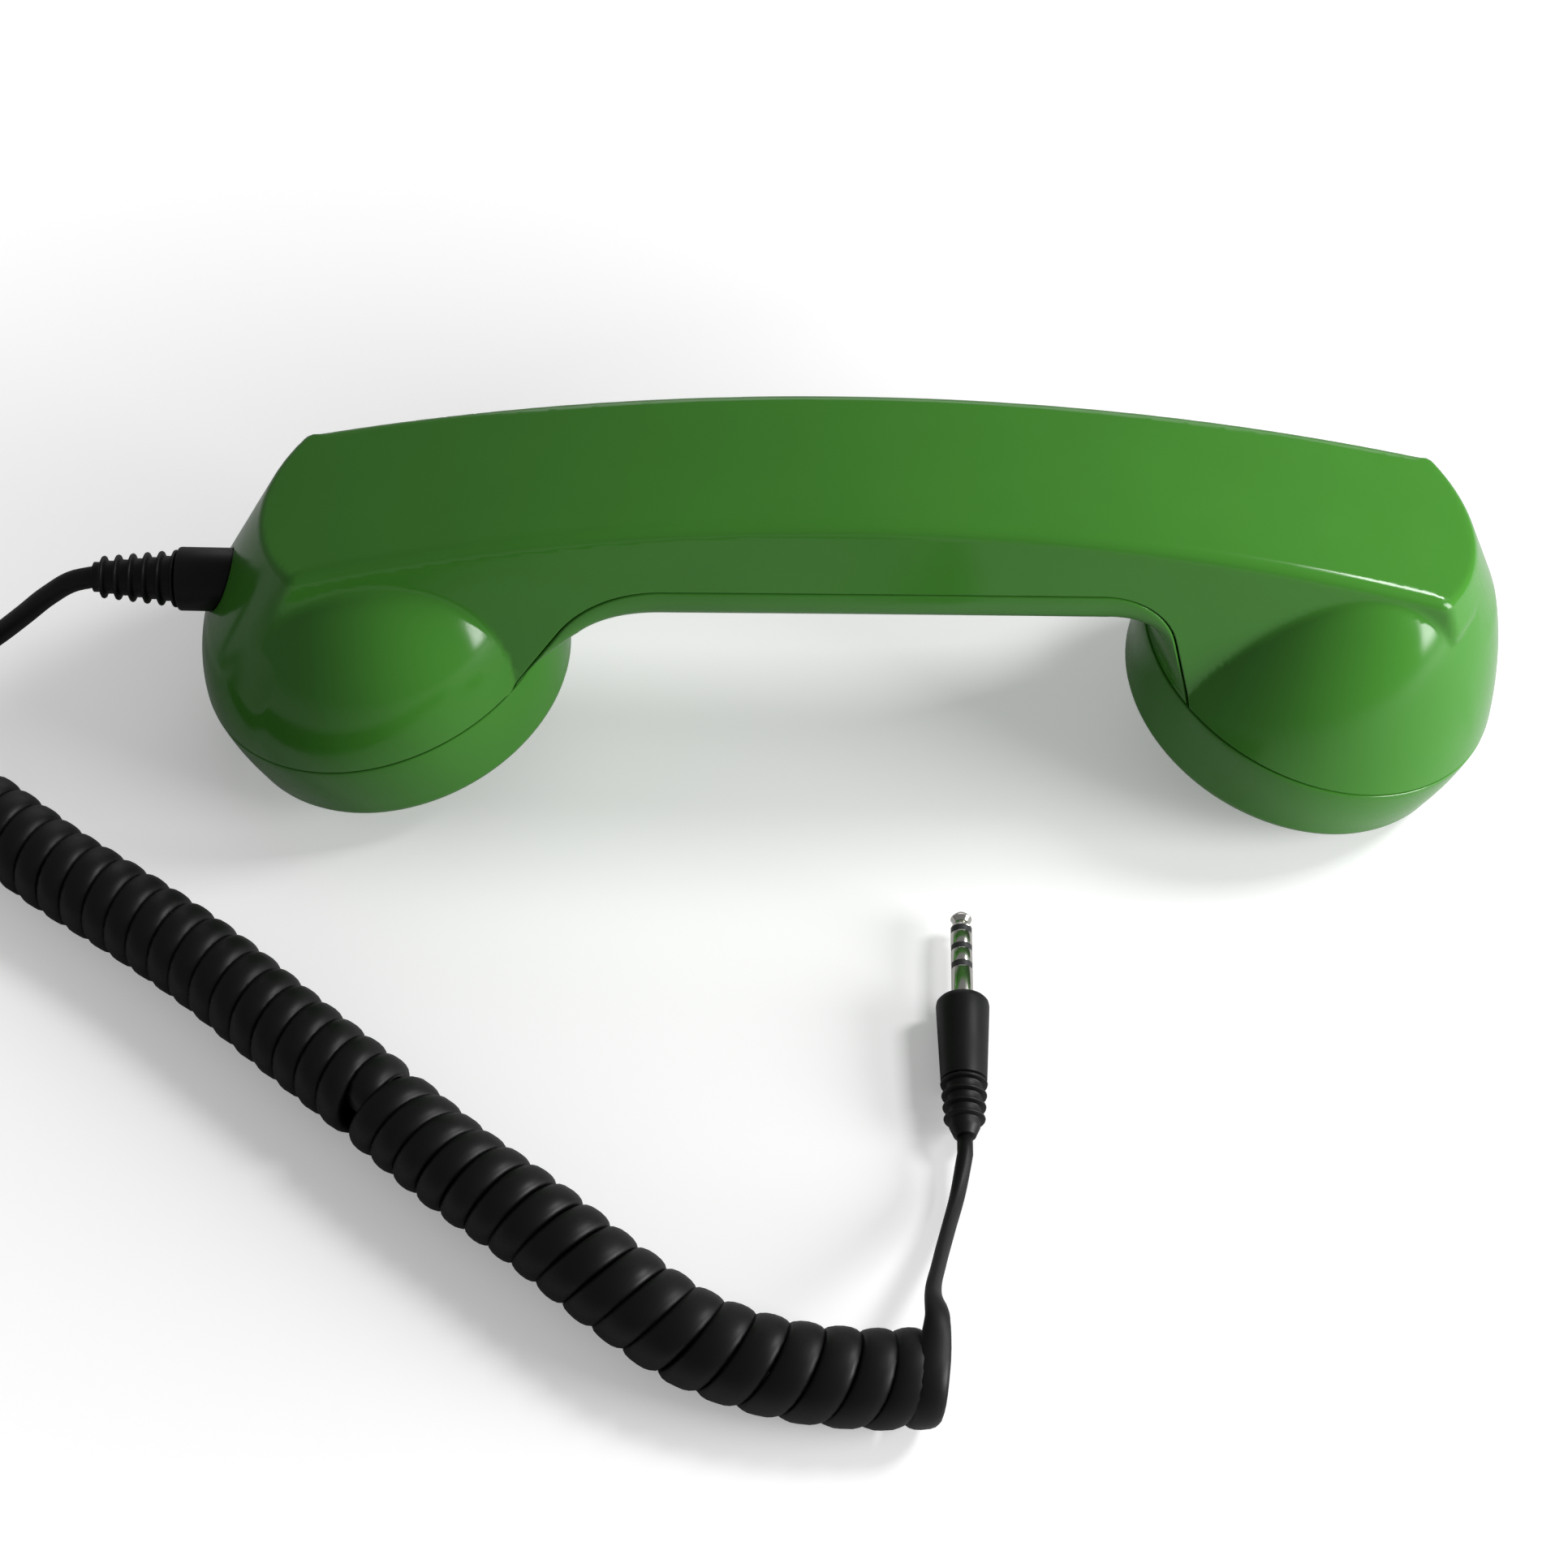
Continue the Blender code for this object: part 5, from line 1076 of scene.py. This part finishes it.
def cord_line():
    """Centre line, wide direction, width and thickness of the whole cord."""
    strand, axes = curl_strand()
    way_in = unit(strand[1] - strand[0])
    way_out = unit(strand[-1] - strand[-2])
    start = np.array((-RELIEF_END + LEAD_SEAT, 0.0, RELIEF_HEIGHT))
    joins = [strand[0] - way_in * 6.0, strand[0] - way_in * 2.0]
    route = [start - (LEAD_SEAT, 0.0, 0.0), *LEAD_ROUTE, *joins]
    lead = np.vstack((start, smooth_curve(route, LEAD_SPACING)))
    end_thickness, end_place = PLUG_LEAD_END
    finish = np.array((PLUG[0], PLUG[1] - end_place, PLUG[2]))
    joins = [strand[-1] + way_out * 2.0, strand[-1] + way_out * 6.0]
    route = [*joins, *PLUG_LEAD_ROUTE, finish - (0.0, 4.5, 0.0)]
    tail = np.vstack((smooth_curve(route, LEAD_SPACING), finish))
    points = np.vstack((lead, strand, tail))
    directions = np.vstack((np.zeros_like(lead), axes, np.zeros_like(tail)))
    first, last = len(lead), len(lead) + len(strand) - 1
    carry(directions, points, last, 1)
    carry(directions, points, first, -1)
    run = run_length(points)
    before = run[first] - run
    after = run - run[last]
    ending = ease(after, 28.0, 42.0)
    leading = mix(STRIP_WIDTH, LEAD_THICKNESS, ease(before, 0.0, 9.0))
    share = np.clip((np.arange(len(points)) - first) / (last - first), 0, 1)
    width = np.where(before > 0, leading, STRIP_WIDTH) * (1 + CURL_SWELL * pulled(share))
    flat = mix(STRIP_WIDTH, PLUG_LEAD_WIDTH, ease(after, 0.0, 8.0))
    width = np.where(after > 0, mix(flat, end_thickness, ending), width)
    leading = mix(STRIP_THICKNESS, LEAD_THICKNESS, ease(before, 0.0, 14.0))
    thick = np.where(before > 0, leading, STRIP_THICKNESS)
    flat = mix(STRIP_THICKNESS, PLUG_LEAD_THICKNESS, ease(after, 4.0, 14.0))
    thick = np.where(after > 0, mix(flat, end_thickness, ending), thick)
    along = unit(np.gradient(points, axis=0))
    twist = (PLUG_LEAD_TWIST * ease(after, 3.0, 18.0))[:, None]
    turned_over = directions * np.cos(twist) + np.cross(along, directions) * np.sin(twist)
    return points, np.where((after > 0)[:, None], turned_over, directions), width, thick


def make_cord():
    points, directions, width, thick = cord_line()
    along = unit(np.gradient(points, axis=0))
    wide = unit(directions - (directions * along).sum(1)[:, None] * along)
    flat = np.cross(along, wide)
    rings = []
    for k in range(STRIP_POINTS):
        turn = math.tau * k / STRIP_POINTS
        across, up = math.cos(turn), math.sin(turn)
        across = math.copysign(abs(across) ** STRIP_ROUNDNESS, across) / 2
        up = math.copysign(abs(up) ** STRIP_ROUNDNESS, up) / 2
        rings.append(points + wide * (across * width)[:, None] + flat * (up * thick)[:, None])
    rings = np.stack(rings, 1)
    return loft("cord", list(rings)), points


# ---- materials
def add_node(tree, kind, inputs=None, **settings):
    """New node; each input takes a value or the socket that feeds it."""
    made = tree.nodes.new(kind)
    for key, value in settings.items():
        setattr(made, key, value)
    for key, value in (inputs or {}).items():
        if isinstance(value, bpy.types.NodeSocket):
            tree.links.new(value, made.inputs[key])
        else:
            made.inputs[key].default_value = value
    return made


class Paint:
    """Small helper that builds one procedural material in object coordinates."""

    def __init__(self, name):
        self.material = bpy.data.materials.new(name)
        self.material.use_nodes = True
        self.tree = self.material.node_tree
        self.tree.nodes.clear()
        self.shader = self.node("ShaderNodeBsdfPrincipled")
        self.output = self.node("ShaderNodeOutputMaterial", {"Surface": self.shader.outputs["BSDF"]})
        self.place = self.node("ShaderNodeTexCoord").outputs["Object"]

    def node(self, kind, inputs=None, **settings):
        return add_node(self.tree, kind, inputs, **settings)

    def feed(self, source, name):
        self.tree.links.new(source, self.shader.inputs[name])

    def noise(self, scale, detail=3.0, roughness=0.5):
        inputs = {"Scale": scale, "Detail": detail, "Roughness": roughness, "Vector": self.place}
        return self.node("ShaderNodeTexNoise", inputs).outputs["Fac"]

    def vary(self, source, low, high):
        """Spread a noise value between two numbers."""
        inputs = {"From Min": 0.3, "From Max": 0.7, "To Min": low, "To Max": high, "Value": source}
        return self.node("ShaderNodeMapRange", inputs).outputs["Result"]

    def colour(self, source, dark, light):
        inputs = {6: (*dark, 1.0), 7: (*light, 1.0), "Factor": self.vary(source, 0.0, 1.0)}
        self.feed(self.node("ShaderNodeMix", inputs, data_type="RGBA").outputs[2], "Base Color")

    def roughness(self, source, low, high):
        self.feed(self.vary(source, low, high), "Roughness")

    def bump(self, source, height):
        """Bump whose height is in millimetres."""
        inputs = {"Strength": 1.0, "Distance": height * MM, "Height": source}
        self.feed(self.node("ShaderNodeBump", inputs).outputs["Normal"], "Normal")


def shade_of(colour, factor):
    return tuple(c * factor for c in colour)


def make_paint(name, colour, rough, metal=0.0, spread=0.06, grain=900.0, height=0.01):
    paint = Paint(name)
    paint.colour(paint.noise(45.0), shade_of(colour, 1 - spread), shade_of(colour, 1 + spread))
    paint.roughness(paint.noise(160.0, 4.0), *rough)
    paint.bump(paint.noise(grain, 4.0, 0.6), height)
    paint.shader.inputs["Metallic"].default_value = metal
    return paint


def make_paints():
    green = make_paint(
        "glossy_green", (0.050, 0.215, 0.023), (0.13, 0.19), spread=0.03, grain=420.0, height=0.004
    )
    green.shader.inputs["Specular IOR Level"].default_value = 0.36
    rubber = make_paint("cord_rubber", (0.004, 0.004, 0.0043), (0.42, 0.52), spread=0.15, height=0.012)
    rubber.shader.inputs["Specular IOR Level"].default_value = 0.28
    felt = make_paint(
        "pressed_felt", (0.09, 0.09, 0.095), (0.85, 0.98), spread=0.3, grain=2600.0, height=0.12
    )
    paper = make_paint(
        "cone_paper", (0.11, 0.1, 0.09), (0.75, 0.9), spread=0.15, grain=1500.0, height=0.05
    )
    paints = {
        "green_plastic": green,
        "black_rubber": rubber,
        "dark_plastic": make_paint("dark_plastic", (0.024, 0.024, 0.026), (0.38, 0.5), spread=0.1),
        "felt": felt,
        "paper": paper,
        "steel": make_paint("zinc_steel", (0.56, 0.57, 0.58), (0.25, 0.4), 1.0, 0.08),
        "nickel": make_paint("nickel_pin", (0.72, 0.7, 0.66), (0.12, 0.2), 1.0, 0.05, height=0.003),
        "board": make_paint("solder_mask", (0.02, 0.14, 0.06), (0.3, 0.42), spread=0.12),
        "red_wire": make_paint("red_wire", (0.42, 0.03, 0.025), (0.35, 0.5), spread=0.08),
    }
    return {name: paint.material for name, paint in paints.items()}


# ---- floor and light
def floor_material():
    """White table top, lifted for the camera by a painted glow that is weak near the handset and stronger
    farther out, and darker where it lights the handset.
    """
    paint = Paint("table_white")
    paint.colour(paint.noise(3.0), (0.91, 0.91, 0.91), (0.93, 0.93, 0.93))
    paint.roughness(paint.noise(20.0), 0.75, 0.85)
    paint.bump(paint.noise(300.0), 0.01)
    paint.shader.inputs["Specular IOR Level"].default_value = 0.1
    # painted light: an emission glow on the table for the camera, growing with distance from the middle of
    # the scene
    reach = paint.node("ShaderNodeVectorMath", {0: paint.place}, operation="LENGTH")
    fade = dict(zip(("From Min", "From Max", "To Min", "To Max"), FLOOR_PAINTED_GLOW))
    farther = paint.node("ShaderNodeMapRange", {**fade, "Value": reach.outputs["Value"]})
    painted_glow = paint.node("ShaderNodeEmission", {"Color": WHITE, "Strength": farther.outputs["Result"]})
    lifted = paint.node("ShaderNodeAddShader", {0: paint.shader.outputs["BSDF"], 1: painted_glow.outputs[0]})
    bounce = paint.node("ShaderNodeBsdfDiffuse", {"Color": (*[FLOOR_BOUNCE] * 3, 1.0)})
    ray = paint.node("ShaderNodeLightPath")
    inputs = {"Fac": ray.outputs["Is Camera Ray"], 1: bounce.outputs[0], 2: lifted.outputs[0]}
    shown = paint.node("ShaderNodeMixShader", inputs)
    paint.tree.links.new(shown.outputs[0], paint.output.inputs["Surface"])
    return paint.material


def add_floor():
    half, drop = 3000.0, -0.06
    corners = [(-half, -half, drop), (half, -half, drop), (half, half, drop), (-half, half, drop)]
    floor = new_mesh("table", corners, [(0, 1, 2, 3)], smooth=False)
    floor.data.materials.append(floor_material())


def add_softbox(name, place, target, width, height, watts):
    data = bpy.data.lights.new(name, "AREA")
    data.shape = "RECTANGLE"
    data.size = width
    data.size_y = height
    data.energy = watts
    lamp = bpy.data.objects.new(name, data)
    away = Vector(place) - Vector(target)
    lamp.location = place
    lamp.rotation_euler = away.to_track_quat("Z", "Y").to_euler()
    bpy.context.scene.collection.objects.link(lamp)


def add_world():
    """Even studio room: dim to diffuse and glossy rays, white to the camera."""
    world = bpy.data.worlds.new("studio")
    bpy.context.scene.world = world
    world.use_nodes = True
    tree = world.node_tree
    tree.nodes.clear()
    ray = add_node(tree, "ShaderNodeLightPath").outputs
    soft, shiny, white = (
        add_node(tree, "ShaderNodeBackground", {"Color": WHITE, "Strength": level}).outputs[0]
        for level in (ROOM_DIFFUSE, ROOM_GLOSSY, 1.0)
    )
    inputs = {0: ray["Is Glossy Ray"], 1: ray["Is Transmission Ray"]}
    clear = add_node(tree, "ShaderNodeMath", inputs, operation="MAXIMUM").outputs[0]
    room = add_node(tree, "ShaderNodeMixShader", {"Fac": clear, 1: soft, 2: shiny}).outputs[0]
    seen = add_node(tree, "ShaderNodeMixShader", {"Fac": ray["Is Camera Ray"], 1: room, 2: white})
    add_node(tree, "ShaderNodeOutputWorld", {"Surface": seen.outputs[0]})


def add_lights():
    add_softbox("key", (0.42, 0.10, 0.46), (0.0, 0.0, 0.03), 0.15, 0.15, KEY_WATTS)
    add_softbox("window", (0.50, -0.19, 0.17), (0.0, 0.0, 0.03), 0.25, 0.25, WINDOW_WATTS)
    add_softbox("back", (0.10, 0.85, 0.34), (0.0, 0.0, 0.0), 0.9, 0.4, BACK_WATTS)


# ---- the whole scene
def finish_piece(paints, item, body, slot, *nodes):
    """Material, body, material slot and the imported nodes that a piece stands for."""
    item.data.materials.clear()
    item.data.materials.append(paints[slot])
    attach(item, body)
    if nodes:
        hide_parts(*nodes)


def build():
    paints = make_paints()
    cord, line = make_cord()
    pieces = [
        (cord, "handset", "black_rubber", "cord_lead", "curly_cord", "plug_lead"),
        (make_shell(), "handset", "green_plastic", "handle_shell"),
        (make_cover(), "handset", "green_plastic", "inner_cover"),
    ]
    for side in SIDES:
        cap = CUP_NAMES[side] + "_cap"
        pieces.append((make_cap(side), cap, "green_plastic", cap))
        pieces.append((make_neck(side), "handset", "green_plastic"))
    pieces.append((make_button(), "answer_button", "dark_plastic", "answer_button"))
    relief, plug, pin = make_relief(), make_plug(), make_pin()
    pieces.append((relief, "handset", "black_rubber", "strain_relief"))
    pieces.append((plug, "handset", "black_rubber", "plug_body"))
    for name, item in pin.items():
        slot = "dark_plastic" if name == "pin_core" else "nickel"
        pieces.append((item, "handset", slot, name.replace("pin", "jack")))
    for piece in pieces:
        finish_piece(paints, *piece)
    repaint(paints)


def repaint(paints):
    """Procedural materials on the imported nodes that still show."""
    for name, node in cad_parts.items():
        current = node.material_slots[0].material.name.split(".")[0]
        node.material_slots[0].material = paints.get(current, paints["dark_plastic"])


bpy.context.scene.view_settings.view_transform = "Standard"
add_camera()
add_world()
add_lights()
add_floor()
build()
